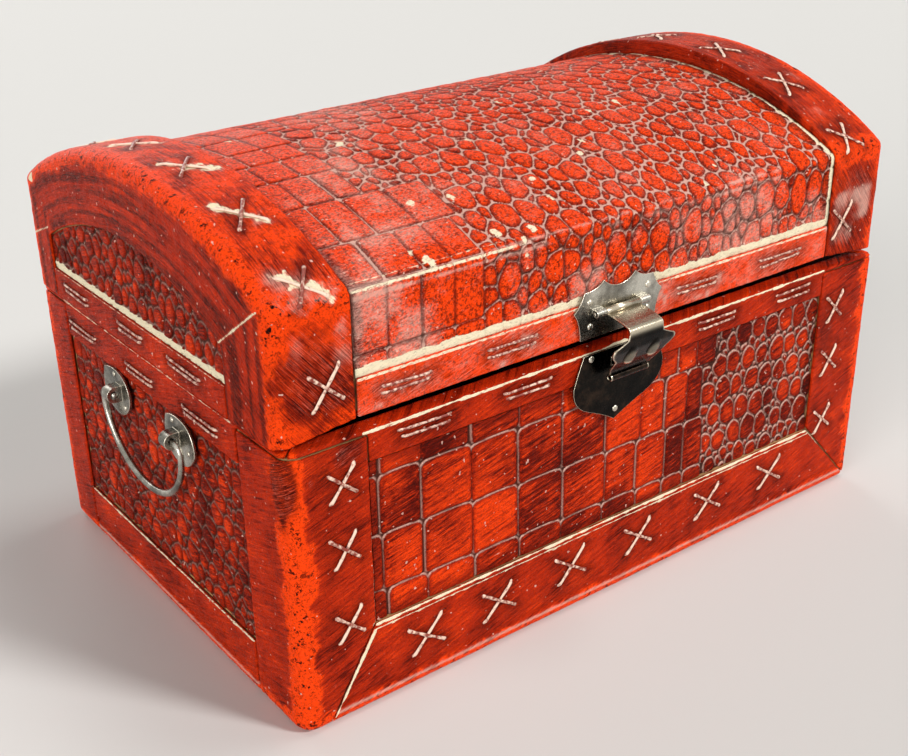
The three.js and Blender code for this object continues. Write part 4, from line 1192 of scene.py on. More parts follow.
frontLook = {
    "hide": panelHide,
    "pitch": 0.5,  # between the grid's lines
    "tall": 1.25,  # a round scale's height over its width
    "rounding": 0.6,  # where borders meet
    "corner": 2.4,  # a square scale's
    "arch": 0.9,  # how far its edges bow up
    "grooveWidth": 0.7,
    "crown": 0.5,  # how much lower a scale's rim lies than its middle
    "seed": 5,
    "dust": 1.0,
    "topDust": 0.9,
    "litSide": (-1.0, 0.0, 0.0),  # the side from which the light falls; groove walls that face it get a painted highlight
    "sideDust": 0.55,
    "borderShade": 0.5,
    "shadeWidth": 6.0,
    "wear": 0.3,
    "shade": nowhere,
    "haze": nowhere,
    "chalk": nowhere,
    "brushTurn": 14,
}

backScales = dict(
    frontScales,
    rows=[
        {"between": (24, 47), "edges": [-140, -112, -95, -76, -53, -33, -12]},
        {"between": (47, 70), "edges": [-140, -114, -97, -74.5, -54, -32, -10]},
        {"between": (70, 94), "edges": [-140, -113, -96, -75, -52, -31, -12]},
        {"between": (94, 120), "edges": [-140, -115, -97, -75.4, -53, -31.5, -9]},
    ],
    droop=0.02,
    roundFrom=-10.0,
)


def buildLongPanel(side, values, seed, look):
    low, high, place = upright(f"{side}_panel", side)
    squares = squareScales(values["rows"], values["droop"], values["start"])

    def keepOut(u, v, size):
        return u < values["roundFrom"] - 0.3 * size

    rounds = ovalScales((values["roundFrom"], low[1]), high, values, seed, keepOut)
    lines = panelLines(low, high, look["pitch"])
    pressedPanel(f"{side}_panel", f"{side}_pressed_panel", *lines, place, squares, rounds, look)


domeScales = {
    "rows": [
        {"between": (-9, 6.7), "edges": [-140, -121, -107.7, -93.4, -80, -66.7]},
        {"between": (6.7, 30.8), "edges": [-140, -121.5, -107.5, -93.2, -79.5, -66.7]},
        {"between": (30.8, 52.5), "edges": [-140, -124, -107, -91.5, -79.5, -66.9]},
        {"between": (52.5, 77), "edges": [-140, -124, -110.5, -96.5, -79, -62]},
        {"between": (77, 98), "edges": [-140, -124, -109.5, -96.5, -86]},
        {"between": (98, 115), "edges": [-140, -124, -112, -98, -84]},
        {"between": (115, 131), "edges": [-140, -124, -110, -97, -85]},
        {"between": (131, 152), "edges": [-140, -124, -111, -96, -82]},
        {"between": (152, 174), "edges": [-140, -124, -109, -95, -80]},
        {"between": (174, 196), "edges": [-140, -124, -110, -96, -78]},
        {"between": (196, 220), "edges": [-140, -124, -108, -94, -80, -66]},
        {"between": (220, 240.5), "edges": [-140, -124, -109, -95, -81, -67]},
        {"between": (240.5, 265), "edges": [-140, -121, -107.7, -93.4, -80, -66.7]},
        {"between": (265, 290), "edges": [-140, -121, -107.7, -93.4, -80, -66.7]},
    ],
    "tall": 1.4,
    "rowPitch": 13.4,
    "spacing": 10.4,
    "slope": 0,
    "jitter": 2.2,
    "radius": 4.4,
    "spread": 0.28,
    "missing": 0.2,
    "packing": 0.8,
    "fillers": [(3.3, 1500, 0.2), (2.4, 4000, 0.2), (1.6, 3000, 0.2)],
    "pitchAcross": 0.8,
    "pitchAlong": (0.66, 1.25),
    "fineTo": 150.0,
}

# Greyish dust: everywhere, in a slanting band, on the front wall and in two lines along the ridge
domeDust = {
    "all": 0.24,
    "most": 0.48,
    "band": 0.2,
    "bandAt": -60.0,  # x of the band's middle where y is 0
    "bandSlope": 0.5,
    "bandWidth": 22,
    "wall": 0.2,
    "wallEnd": (20, 30),  # places along the section
    "ridge": 0.4,
    "ridgeLines": (27.4, 30.8),
    "ridgeWidth": 0.7,
}

# Chalky putty fills the foot and the right edge, marks the ridge and lies about in flakes
domePutty = {
    "foot": (4.6, 2.2),  # how far from the foot it ends, and how far it is full
    "side": (3.6, 1.4),
    "sideShare": 0.84,
    "ridgeLines": (1.3, 3.9),  # in from the front
    "ridgeWidth": 0.6,
    "ridgeShare": 0.84,
    "ridgeEnd": (-20, -60),
    "flakeShare": 0.82,
    "flakeTall": 1.3,
    # x, place along the section and size of each flake
    "flakes": [
        (-75, 64, 3.4), (-59, 62, 2.6), (-22, 60, 2.8), (-23, 48, 3.0), (-56, 38, 3.4), (-42, 35, 3.6),
        (-48, 32, 3.0), (-92, 39, 2.6), (-88, 34, 3.4), (-26, 96, 3.0), (38, 96, 3.2), (55, 98, 2.6),
        (16, 76, 2.6), (9, 68, 2.2), (46, 34, 2.2), (58, 42, 2.0), (-70, 118, 3.0), (12, 124, 3.4),
        (-100, 150, 3.2), (66, 160, 2.6), (-30, 190, 2.8), (80, 205, 3.0),
    ],
}
# The dome's hide is a brighter copy of the panels' hide: partly more rubbed, partly painted light for the
# light that falls on the dome's top
domeFinish = dict(
    panelFinish,
    streak=(5.0, 1.6, 1.6),
    hair=(2.2, 0.7, 0.7),
    grain=1.2,
    toneShare=0.24,
    redFrom=1.2,
    redTo=1.5,
    brightFrom=1.5,
    brightTo=1.84,
    chipFrom=0.6,
    speckle=0.75,
    speckleFrom=0.43,
    wearShare=0.6,
    rimShade=0.42,
    rimFrom=0.26,
    dustTo=0.13,
)
domeHide = rubbedHide("embossed_dome_hide", domeFinish)
domeLook = dict(
    frontLook,
    hide=domeHide,
    tall=1.4,
    corner=1.8,
    arch=0.3,
    rounding=0.5,
    grooveWidth=0.75,
    crown=0.4,
    # rubbed brighter than the walls, partly as painted light on the dome's top
    wear=0.8,
    topDust=0.85,
    seed=9,
    brushTurn=8,
    shade=rightShade("dome_panel", 0.75, 8, 2, 20),
)


def domeHaze(base, uv):
    dust = domeDust
    rough = softNoise(base, 16, 17) + 0.6 * softNoise(base, 5, 18)
    slant = np.abs(base[:, 0] - dust["bandAt"] - dust["bandSlope"] * base[:, 1]) / dust["bandWidth"]
    band = dust["band"] * np.exp(-(slant**2)) * (0.6 + 0.5 * rough)
    wall = dust["wall"] * (1 - smoothStep(*dust["wallEnd"], uv[:, 1])) * smoothStep(-0.8, 1.0, rough)
    lines = [(uv[:, 1] - line) / dust["ridgeWidth"] for line in dust["ridgeLines"]]
    fade = smoothStep(-0.6, 0.5, rough + 0.8 - 1.2 * smoothStep(-40, 40, base[:, 0]))
    spread = np.minimum(dust["all"] + 0.1 * rough + band + wall, dust["most"])
    return spread + sum(np.exp(-(away**2)) for away in lines) * (dust["ridge"] * fade)


# The putty on a dome panel with this box, whose flakes lie at these places in y.
def domeChalk(low, high, flakeYs):
    def chalk(base):
        putty = domePutty
        over = base[:, 2] - low[2]
        filler = smoothStep(*putty["foot"], over + 0.9 * softNoise(base, 4, 19))
        side = smoothStep(*putty["side"], high[0] - base[:, 0] + 0.8 * softNoise(base, 5, 29))
        side = putty["sideShare"] * side * (over > 3)
        flakes = np.zeros(len(base))
        ragged = 1.1 * softNoise(base, 1.8, 30)
        for (x, _, size), y in zip(putty["flakes"], flakeYs):
            away = np.hypot(base[:, 0] - x, (base[:, 1] - y) / putty["flakeTall"]) + ragged
            flake = putty["flakeShare"] * smoothStep(size, size * 0.3, away)
            flakes = np.maximum(flakes, flake * (over > 20))
        inward = base[:, 1] - trunkForm["lidFront"]
        lines = [(inward - line) / putty["ridgeWidth"] for line in putty["ridgeLines"]]
        ridge = putty["ridgeShare"] * sum(np.exp(-(away**2)) for away in lines) * (over > 24)
        ridge = ridge * smoothStep(*putty["ridgeEnd"], base[:, 0])
        return np.max([filler, side, flakes, ridge], axis=0)

    return chalk


def buildDomePanel():
    values = domeScales
    low, high = boxOf("dome_panel")
    inset = trunkForm["lidBack"] - high[1]
    foot = low[2]
    left, right = trunkForm["domeRises"]
    midRise = (left + right) / 2
    edge = trunkForm["lidHalfWidth"]

    def place(u, v):
        rise = left + (right - left) * (u + edge) / (2 * edge)
        y, z, outY, outZ = lidSection(v, rise, midRise, inset, foot)
        return np.stack([u, y, z], 1), np.stack([0 * u, outY, outZ], 1)

    # The section ends where it comes back down to the foot behind the dome
    steps = np.linspace(0, 400, 4001)
    y, z = lidSection(steps, midRise, midRise, inset, foot)[:2]
    length = steps[np.argmax((z <= foot + 0.001) & (y > 0))]
    squares = squareScales(values["rows"], 0, 0)
    spans = [(row["between"], row["edges"][-1]) for row in values["rows"]]

    def keepOut(u, v, size):
        room = size * 0.3
        return any(a - room < v < b + room and u < end + room for (a, b), end in spans)

    rounds = ovalScales((-92, 0), (high[0], length), values, 21, keepOut)
    along = np.array([flake[1] for flake in domePutty["flakes"]])
    flakeYs = lidSection(along, midRise, midRise, inset, foot)[0]
    look = dict(domeLook, haze=domeHaze, chalk=domeChalk(low, high, flakeYs))
    u = gridLines((low[0], high[0]), [values["pitchAcross"]])
    v = gridLines((0, values["fineTo"], length), values["pitchAlong"])
    pressedPanel("dome_panel", "dome_pressed_panel", u, v, place, squares, rounds, look)


endScales = dict(
    frontScales,
    tall=1.1,
    rowPitch=7.9,
    spacing=8.5,
    slope=0.1,
    jitter=1.7,
    radius=4.0,
    spread=0.3,
    missing=0.12,
    fillers=[(2.6, 600, 0.2), (1.5, 1500, 0.2)],
)
endLook = dict(
    frontLook,
    tall=1.1,
    litSide=(0.0, 1.0, 0.0),
    grooveWidth=0.8,
    dust=0.3,
    borderShade=0.35,
    wear=0.32,
)


def buildEndPanels():
    for side, seed in (("left", 31), ("right", 37)):
        low, high, place = upright(f"{side}_panel", side)
        rounds = ovalScales(low, high, endScales, seed, anywhere)
        look = dict(endLook, seed=seed)
        lines = panelLines(low, high, look["pitch"])
        pressedPanel(f"{side}_panel", f"{side}_pressed_panel", *lines, place, [], rounds, look)


gableScales = dict(endScales, rise=18.0, spacing=7.4, rowPitch=7.2, radius=3.6, slope=0.0, tall=1.2)
gableLook = dict(endLook, dust=0.35, tall=1.2, wear=0.25, borderShade=0.5)


# The hide under each arch: its top edge follows the gable's curve.
def buildGablePanels():
    for side, seed in (("left", 41), ("right", 43)):
        node = f"{side}_gable_panel"
        low, high, place = upright(node, side)
        rise = gableScales["rise"]
        half = (high[0] - low[0]) / 2
        middle = -(high[0] + low[0]) / 2 if side == "left" else (high[0] + low[0]) / 2
        radius = (half**2 + rise**2) / (2 * rise)

        def underCurve(u, v):
            points, outward = place(u, v)
            crown = high[1] - radius + np.sqrt(radius**2 - (points[:, 1] - middle) ** 2)
            points[:, 2] = np.minimum(points[:, 2], crown)
            return points, outward

        # A thick chalky line of old filler along the foot
        def footChalk(base):
            return smoothStep(3.9, 2.2, base[:, 2] - low[1] + 0.6 * softNoise(base, 5, 44))

        rounds = ovalScales(low, high, gableScales, seed, anywhere)
        look = dict(gableLook, seed=seed, chalk=footChalk)
        lines = panelLines(low, high, look["pitch"])
        pressedPanel(node, f"{side}_pressed_gable", *lines, underCurve, [], rounds, look)


frontShade = rightShade("front_panel", 0.8, 9, 3, 15)
buildLongPanel("front", frontScales, 11, dict(frontLook, shade=frontShade))
buildDomePanel()
buildLongPanel("back", backScales, 15, dict(frontLook, pitch=0.7))
buildEndPanels()
buildGablePanels()


# Stitches

threadShape = {
    "halfWidth": 0.62,
    "halfHeight": 0.42,
    "lift": -0.12,  # the thread's middle line against the face, while it lies in its dent
    "crossLift": 0.5,  # how much the upper thread of a cross climbs over the lower one
    "climbWidth": 0.09,  # in shares of the thread, like the next widths
    "dive": 1.0,
    "diveWidth": 0.05,
    "knot": 0.3,
    "knotPlaces": (0.07, 0.93),
    "knotWidth": 0.05,
    "wobble": 0.12,
    "loose": 0.5,  # how far an end may lie off its place
    "barPale": 0.22,
    "barShare": 0.8,
    "pale": (0.75, 0.3),  # under and upper thread of a cross
    "smearedPale": (1.0, 0.0),
    "steps": 16,
    "sides": 8,
}


# A closed tube with oval sections, started as a grid whose long edges are welded.
def addTube(bm, centres, upward, halfWidths, halfHeights, sides):
    steps = len(centres) - 1
    sideways = []
    for i in range(steps + 1):
        across = np.cross(centres[min(i + 1, steps)] - centres[max(i - 1, 0)], upward[i])
        sideways.append(across / np.linalg.norm(across))
    grid = bmesh.ops.create_grid(bm, x_segments=steps, y_segments=sides, size=0.5)
    for vertex in grid["verts"]:
        step = round((vertex.co.x + 0.5) * steps)
        angle = 2 * math.pi * (vertex.co.y + 0.5)
        out = sideways[step] * halfWidths[step] * math.cos(angle)
        out = out + upward[step] * halfHeights[step] * math.sin(angle)
        vertex.co = Vector((centres[step] + out) * mm)
    bmesh.ops.remove_doubles(bm, verts=grid["verts"], dist=0.001 * mm)
    ends = [edge for vertex in grid["verts"] if vertex.is_valid for edge in vertex.link_edges]
    bmesh.ops.holes_fill(bm, edges=[edge for edge in set(ends) if edge.is_boundary], sides=0)
    return [vertex for vertex in grid["verts"] if vertex.is_valid]


# One thread from start to end on a face. share is its width against a cross's thread.
def addThread(bm, face, start, end, over, share):
    shape = threadShape
    run = np.linspace(0, 1, shape["steps"] + 1)
    centres, upward, wide, tall = [], [], [], []
    for i, t in enumerate(run):
        place, normal = faces[face](*(start * (1 - t) + end * t))
        sink = sum(math.exp(-((away / shape["diveWidth"]) ** 2)) for away in (t, 1 - t))
        climb = over * shape["crossLift"] * math.exp(-(((t - 0.5) / shape["climbWidth"]) ** 2))
        centres.append(place + normal * (shape["lift"] - shape["dive"] * sink + climb))
        upward.append(np.array(normal, float))
        knot = sum(math.exp(-(((t - knotAt) / shape["knotWidth"]) ** 2)) for knotAt in shape["knotPlaces"])
        wobble = 1 + shape["wobble"] * math.sin(5.3 * i + 7 * start[0]) + shape["knot"] * knot
        wide.append(shape["halfWidth"] * wobble * share)
        tall.append(shape["halfHeight"] * wobble)
    return addTube(bm, centres, upward, wide, tall, shape["sides"])


def buildStitches():
    shape = threadShape
    rng = np.random.default_rng(51)
    for node in sorted(set(crosses) | set(bars)):
        bm = bmesh.new()
        pale = bm.verts.layers.float.new("pale")
        for face, start, end, over in threadsOf(node):
            start = np.array(start) + rng.uniform(-shape["loose"], shape["loose"], 2)
            end = np.array(end) + rng.uniform(-shape["loose"], shape["loose"], 2)
            width = 1 if node in crosses else shape["barShare"]
            tube = addThread(bm, face, start, end, over, width)
            share = shape["smearedPale" if face == "archLeft" else "pale"][over]
            for vertex in tube:
                vertex[pale] = share if node in crosses else shape["barPale"]
        bmesh.ops.recalc_face_normals(bm, faces=bm.faces)
        name = node.replace("strap", "stitches")
        piece = newPiece(name, meshFrom(bm, name), waxedThread)
        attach(piece, nodes[node]["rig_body"])


buildStitches()
print("stitches made")


# Metalwork: cut plates keep their solids' shapes with softened edges

plateShape = {"sharp": 38, "segments": 2, "rub": 0.8}  # the last number says how bare the edges' steel is


def bevelledCopy(node, name, material, width):
    bm = bmesh.new()
    bm.from_mesh(nodes[node].data)
    bmesh.ops.remove_doubles(bm, verts=bm.verts, dist=0.001 * mm)
    bmesh.ops.dissolve_limit(bm, angle_limit=math.radians(1), verts=bm.verts, edges=bm.edges)
    least = math.radians(plateShape["sharp"])
    sharp = [edge for edge in bm.edges if edge.is_manifold and edge.calc_face_angle() > least]
    rub = bm.faces.layers.float.new("rub")
    made = bmesh.ops.bevel(
        bm,
        geom=sharp,
        offset=width * mm,
        offset_type="OFFSET",
        affect="EDGES",
        segments=plateShape["segments"],
        profile=0.5,
        material=-1,
        clamp_overlap=True,
    )
    for face in made["faces"]:
        face[rub] = plateShape["rub"]
    piece = newPiece(name, meshFrom(bm, name), material)
    piece.modifiers.new("even_normals", "WEIGHTED_NORMAL").keep_sharp = True
    standFor(piece, node)


nailShape = {"rise": 0.45, "rub": 0.6, "around": 16, "rings": 10}


# Domed nail heads: a flattened ball half sunk in the plate.
def addNails(name, body, places, outward, radius, rise=nailShape["rise"]):
    bm = bmesh.new()
    turn = Vector((0, 0, 1)).rotation_difference(Vector(outward)).to_matrix().to_4x4()
    rub = bm.verts.layers.float.new("rub")
    around, rings = nailShape["around"], nailShape["rings"]
    for place in places:
        head = bmesh.ops.create_uvsphere(bm, u_segments=around, v_segments=rings, radius=radius * mm)
        for vertex in head["verts"]:
            vertex[rub] = nailShape["rub"]
        bmesh.ops.scale(bm, vec=(1, 1, rise), verts=head["verts"])
        bmesh.ops.transform(bm, matrix=turn, verts=head["verts"])
        bmesh.ops.translate(bm, vec=Vector(place) * mm, verts=head["verts"])
    piece = newPiece(name, meshFrom(bm, name), pewterSteel)
    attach(piece, body)


latchForm = {
    "centreX": -4.2,
    "edge": 0.16,
    "pinEdge": 0.1,
    "thick": 0.8,
    "nailRadius": 1.35,
    "upperNails": [(-15.0, 134.0), (15.0, 134.0), (-14.6, 124.3), (15.0, 124.6)],
    "lowerNails": [(-15.3, 111.8), (15.3, 111.8), (-1.9, 87.2)],
}


def buildLatchPlates():
    values = latchForm
    bevelledCopy("latch_upper_plate", "scalloped_latch_plate", pewterSteel, values["edge"])
    bevelledCopy("latch_pin", "latch_hinge_pin", pewterSteel, values["pinEdge"])
    bevelledCopy("latch_lower_plate", "shield_latch_plate", bronzedSteel, values["edge"])
    for name, body, node, nails in (
        ("latch_plate_nails", "lid", "latch_upper_plate", values["upperNails"]),
        ("shield_plate_nails", "trunk_body", "latch_lower_plate", values["lowerNails"]),
    ):
        face = boxOf(node)[1][1] - values["thick"]
        places = [(values["centreX"] + x, face, z) for x, z in nails]
        addNails(name, body, places, (0, -1, 0), values["nailRadius"])


# The hasp's section as places out from the pivot and down from it, in shares, as on its solid
haspForm = {
    "pivot": (-101.9, 129.5),  # y and z of the pin
    "peakY": -114.7,
    "curlPlace": (-106.3, 104.0),
    "curlRadius": 1.6,
    "curlSteps": 12,
    "curlFrom": 150,
    "curlSweep": 270,
    "drop": 25.5,
    "thick": 0.7,
    "columns": 72,
    "rows": 96,
    "top": 1.4,  # how far under the pin the sheet starts, hidden in its barrel
    "shelfShares": [(0.12, 0.06), (0.37, 0.075), (0.7, 0.105), (0.96, 0.145)],
    "faceShares": [(1, 0.17), (0.99, 0.3), (0.92, 0.45), (0.64, 0.65), (0.22, 0.82), (0.03, 0.92)],
    # how wide the painted highlight along the crease is, in rows
    "creaseRows": 2.6,
    "shelfRub": 0.55,
    "edgeRub": 0.85,
    "widths": [(0, 8.5), (0.2, 8.5), (0.3, 9.2), (0.375, 13.6), (0.4, 15.4), (0.47, 16.2), (0.54, 15.2)]
    + [(0.62, 13.0), (0.8, 12.2), (0.93, 10.2), (1, 9.7), (1.2, 9.7)],
    "louvres": [(-6.0, 115.2), (6.0, 115.2)],
    "louvreHalf": (2.8, 3.9),
    "louvreRise": 1.3,
    "louvreLip": 0.95,  # how far down a louvre ends, in shares of its half height
    "barrelRadius": 1.5,
    "barrelLength": 17.0,
    "barrelSides": 28,
    "barrelRub": 0.9,
}


def smoothLine(places, count):
    places = np.array(places, float)
    reach = np.concatenate([[0], np.cumsum(np.linalg.norm(np.diff(places, axis=0), axis=1))])
    even = np.linspace(0, reach[-1], count)
    line = np.stack([np.interp(even, reach, places[:, k]) for k in range(2)], axis=1)
    line[1:-1] = (line[:-2] + 2 * line[1:-1] + line[2:]) / 4
    return line


def haspPath(values):
    y0, z0 = values["pivot"]
    curlY, curlZ = values["curlPlace"]
    line = [(y0, z0 - values["top"])]
    for startY, shares in ((y0, values["shelfShares"]), (curlY, values["faceShares"])):
        for out, down in shares:
            line.append((startY + (values["peakY"] - startY) * out, z0 - down * values["drop"]))
    radius = values["curlRadius"]
    for i in range(values["curlSteps"] + 1):
        angle = math.radians(values["curlFrom"] + values["curlSweep"] * i / values["curlSteps"])
        line.append((curlY - radius * math.cos(angle), curlZ + radius * math.sin(angle)))
    return smoothLine(line, values["rows"] + 1)


# How far the two louvres stand out: ovals that rise towards a cut lower lip.
def louvreRise(x, y, z, values):
    rise = np.zeros(len(x))
    facing = y < (values["peakY"] + values["curlPlace"][0]) / 2 + 2
    for middle, level in values["louvres"]:
        halfU, halfV = values["louvreHalf"]
        du = (x - latchForm["centreX"] - middle) / halfU
        dv = (z - level) / halfV
        oval = np.clip(1 - du**2 - dv**2, 0, 1)
        slope = np.clip(0.75 - 0.6 * dv, 0.1, 1.3)
        aboveLip = np.clip((dv + values["louvreLip"]) * 6, 0, 1)
        rise = np.maximum(rise, np.sqrt(oval) * slope * aboveLip * facing * values["louvreRise"])
    return rise


def buildHasp():
    values = haspForm
    y0, z0 = values["pivot"]
    rows = values["rows"]
    path = haspPath(values)
    mesh, flat = flatGrid("bent_hasp", values["columns"], rows)
    across = flat[:, 0] * 2
    row = np.rint((flat[:, 1] + 0.5) * rows).astype(int)
    tangent = np.gradient(path, axis=0)
    tangent /= np.linalg.norm(tangent, axis=1)[:, None]
    outward = np.stack([tangent[:, 1], -tangent[:, 0]], axis=1)
    downShares, halfWidths = zip(*values["widths"])
    down = (z0 - path[:, 1]) / values["drop"]
    pastCurl = np.maximum.accumulate(down) > 1
    half = np.where(pastCurl, halfWidths[-1], np.interp(down, downShares, halfWidths))
    x = latchForm["centreX"] + across * half[row]
    y, z = path[row].T
    rise = louvreRise(x, y, z, values)
    movePoints(mesh, np.stack([x, y + outward[row, 0] * rise, z + outward[row, 1] * rise], axis=1))

    # Handling has bared the shelf, the edges and the louvres' lips. The pale band along the crease is a
    # painted highlight.
    rowDown = np.where(pastCurl, 1, down)[row]
    creaseHighlight = np.exp(-(((row - np.argmin(path[:, 0]) + 1) / values["creaseRows"]) ** 2))
    shelf = values["shelfRub"] * (1 - smoothStep(0.12, 0.24, rowDown))
    border = values["edgeRub"] * smoothStep(0.93, 0.985, np.abs(across))
    lip = smoothStep(0.3, 0.8, rise) * (0.35 + 0.6 * (z < values["louvres"][0][1] - 1.8))
    setMask(mesh, "rub", np.max([creaseHighlight, shelf, border, lip], axis=0))
    bm = bmesh.new()
    bm.from_mesh(mesh)
    bpy.data.meshes.remove(mesh)
    rub = bm.verts.layers.float["rub"]
    bmesh.ops.solidify(bm, geom=bm.faces[:], thickness=values["thick"] * mm)
    size = {"radius1": values["barrelRadius"] * mm, "radius2": values["barrelRadius"] * mm}
    size["depth"] = values["barrelLength"] * mm
    barrel = bmesh.ops.create_cone(bm, cap_ends=True, segments=values["barrelSides"], **size)
    for vertex in barrel["verts"]:
        vertex[rub] = values["barrelRub"]
    turn = Matrix.Rotation(math.radians(90), 4, "Y")
    bmesh.ops.transform(bm, matrix=turn, verts=barrel["verts"])
    bmesh.ops.translate(bm, vec=Vector((latchForm["centreX"], y0, z0)) * mm, verts=barrel["verts"])
    bmesh.ops.recalc_face_normals(bm, faces=bm.faces)
    piece = newPiece("bent_hasp", meshFrom(bm, "bent_hasp"), bronzedSteel)
    standFor(piece, "latch_hasp")


handleForm = {
    "centreY": 1.0,
    "axisX": 156.8,
    "axisZ": 91.5,
    "tip": 21.5,
    "halfWidth": 33.5,
    "bend": 3.5,
    "bendSteps": 8,
    "bowSteps": 48,
    "sides": 20,
    "drop": 30.0,
    "radius": 1.45,
    "roseEdge": 0.2,
    "roseThick": 1.3,
    "roseNails": {"back": [(29.0, 98.0), (22.0, 85.5)], "front": [(-21.5, 97.8), (-32.5, 88.0)]},
    "nailRadius": 1.1,
}


# The drop handle: a drawn rod, a little thicker and flatter where the hand takes it.
def buildBail(side, sign):
    values = handleForm
    axisZ, bend, halfWidth = values["axisZ"], values["bend"], values["halfWidth"]
    half = [(values["tip"], axisZ), ((values["tip"] + halfWidth) / 2, axisZ)]
    for i in range(values["bendSteps"] + 1):
        angle = math.pi / 2 * (1 - i / values["bendSteps"])
        half.append((halfWidth - bend * (1 - math.cos(angle)), axisZ - bend * (1 - math.sin(angle))))
    line = list(half)
    for i in range(1, values["bowSteps"]):
        angle = math.pi * i / values["bowSteps"]
        fall = (values["drop"] - bend) * math.sin(angle)
        line.append((halfWidth * math.cos(angle), axisZ - bend - fall))
    line += [(-y, z) for y, z in reversed(half)]
    centres = [np.array([sign * values["axisX"], values["centreY"] + y, z]) for y, z in line]
    upward = [np.array([float(sign), 0, 0])] * len(line)
    low = np.array([axisZ - z for y, z in line]) / values["drop"]
    wide = values["radius"] * (0.8 + 0.2 * smoothStep(0.1, 0.8, low))
    tall = values["radius"] * (0.84 + 0.1 * smoothStep(0.1, 0.8, low))
    bm = bmesh.new()
    addTube(bm, centres, upward, wide, tall, values["sides"])
    bmesh.ops.recalc_face_normals(bm, faces=bm.faces)
    name = f"{side}_drop_handle"
    standFor(newPiece(name, meshFrom(bm, name), pewterSteel), f"{side}_bail")


def buildHandles():
    values = handleForm
    for side, sign in (("left", -1), ("right", 1)):
        buildBail(side, sign)
        for end, nails in values["roseNails"].items():
            node = f"{side}_{end}_rose"
            bevelledCopy(node, f"{side}_{end}_handle_rose", pewterSteel, values["roseEdge"])
            face = sign * (trunkForm["halfWidth"] + values["roseThick"])
            places = [(face, y, z) for y, z in nails]
            addNails(f"{node}_nails", "trunk_body", places, (sign, 0, 0), values["nailRadius"])


hingeForm = {
    "edge": 0.15,
    "leaf": 1.0,
    "knuckle": 2.0,
    "screwRadius": 1.5,
    "screwRise": 0.3,
    "screwInset": 8.3,
    "screwDrop": 8.0,
}


def buildHinges():
    values = hingeForm
    for side in ("left", "right"):
        for part in ("lower_leaf", "upper_leaf", "pin"):
            node = f"{side}_hinge_{part}"
            bevelledCopy(node, f"{side}_butt_hinge_{part}", pewterSteel, values["edge"])
        low, high = boxOf(f"{side}_hinge_lower_leaf")
        middle = (low[0] + high[0]) / 2
        face = low[1] + values["leaf"]
        axis = high[2] - values["knuckle"]
        for body, way in (("trunk_body", -1), ("lid", 1)):
            level = axis + way * values["screwDrop"]
            spots = [(middle + x * values["screwInset"], face, level) for x in (-1, 0, 1)]
            name = f"{side}_hinge_screws_{'lower' if way < 0 else 'upper'}"
            addNails(name, body, spots, (0, 1, 0), values["screwRadius"], values["screwRise"])


buildLatchPlates()
buildHasp()
buildHandles()
buildHinges()
print("metalwork made")


# Boards and linings keep their solids and get their own finishes

pineFinish = {
    "band": (120.0, 7.0, 7.0),  # length and width of a growth band
    "tones": [(0.35, "#8a5f38"), (0.62, "#c79a63")],
    "rough": 0.7,
    "bump": 0.2,
}


# Planed pine: pale growth bands along the board, darker where hands and dust have reached.
def planedPine(values):
    material, tree = newMaterial("planed_pine_board")
    place = addNode(tree, "ShaderNodeTexCoord").outputs["Object"]
    inputs = {"Vector": place, "Scale": [1 / (size * mm) for size in values["band"]]}
    bands = addNode(tree, "ShaderNodeMapping", inputs).outputs[0]
    grain = addNode(tree, "ShaderNodeTexNoise", {"Vector": bands, "Scale": 1.0, "Detail": 6.0}).outputs[0]
    ramp = addNode(tree, "ShaderNodeValToRGB", {"Fac": grain})
    setTones(ramp, values["tones"])
    bump = addNode(tree, "ShaderNodeBump", {"Height": grain, "Distance": values["bump"] * mm}).outputs[0]
    inputs = {"Base Color": ramp.outputs[0], "Roughness": values["rough"], "Normal": bump}
    shader = addNode(tree, "ShaderNodeBsdfPrincipled", inputs)
    addNode(tree, "ShaderNodeOutputMaterial", {"Surface": shader.outputs[0]})
    return material


cottonFinish = {
    "thread": 1.6,
    "waver": 0.4,
    "cloud": 18.0,
    "tones": [(0.3, "#2a1512"), (0.7, "#4a2420")],
    "rough": 0.9,
    "sheen": 0.3,
    "bump": 0.12,
    "wavesPerUnit": 3.2,  # what the wave texture draws at scale 1
}


# Woven cotton lining: a fine over and under weave, drawn coarser than real so that it shows.
def wovenCotton(values):
    material, tree = newMaterial("woven_cotton_lining")
    place = addNode(tree, "ShaderNodeTexCoord").outputs["Object"]
    inputs = {"Vector": place, "Scale": [1 / (values["cloud"] * mm)] * 3}
    tint = addNode(tree, "ShaderNodeMapping", inputs).outputs[0]
    cloud = addNode(tree, "ShaderNodeTexNoise", {"Vector": tint, "Scale": 1.0, "Detail": 4.0}).outputs[0]
    heights = []
    inputs = {"Vector": place, "Scale": 1 / (values["thread"] * mm) / values["wavesPerUnit"]}
    inputs |= {"Distortion": values["waver"], "Detail": 1.0}
    for direction in ("X", "Y", "Z"):
        wave = addNode(tree, "ShaderNodeTexWave", inputs, bands_direction=direction)
        heights.append(wave.outputs["Fac"])
    first = addNode(tree, "ShaderNodeMath", {0: heights[0], 1: heights[1]}, operation="ADD").outputs[0]
    weave = addNode(tree, "ShaderNodeMath", {0: first, 1: heights[2]}, operation="ADD").outputs[0]
    ramp = addNode(tree, "ShaderNodeValToRGB", {"Fac": cloud})
    setTones(ramp, values["tones"])
    bump = addNode(tree, "ShaderNodeBump", {"Height": weave, "Distance": values["bump"] * mm}).outputs[0]
    inputs = {"Base Color": ramp.outputs[0], "Roughness": values["rough"], "Normal": bump}
    inputs["Sheen Weight"] = values["sheen"]
    shader = addNode(tree, "ShaderNodeBsdfPrincipled", inputs)
    addNode(tree, "ShaderNodeOutputMaterial", {"Surface": shader.outputs[0]})
    return material


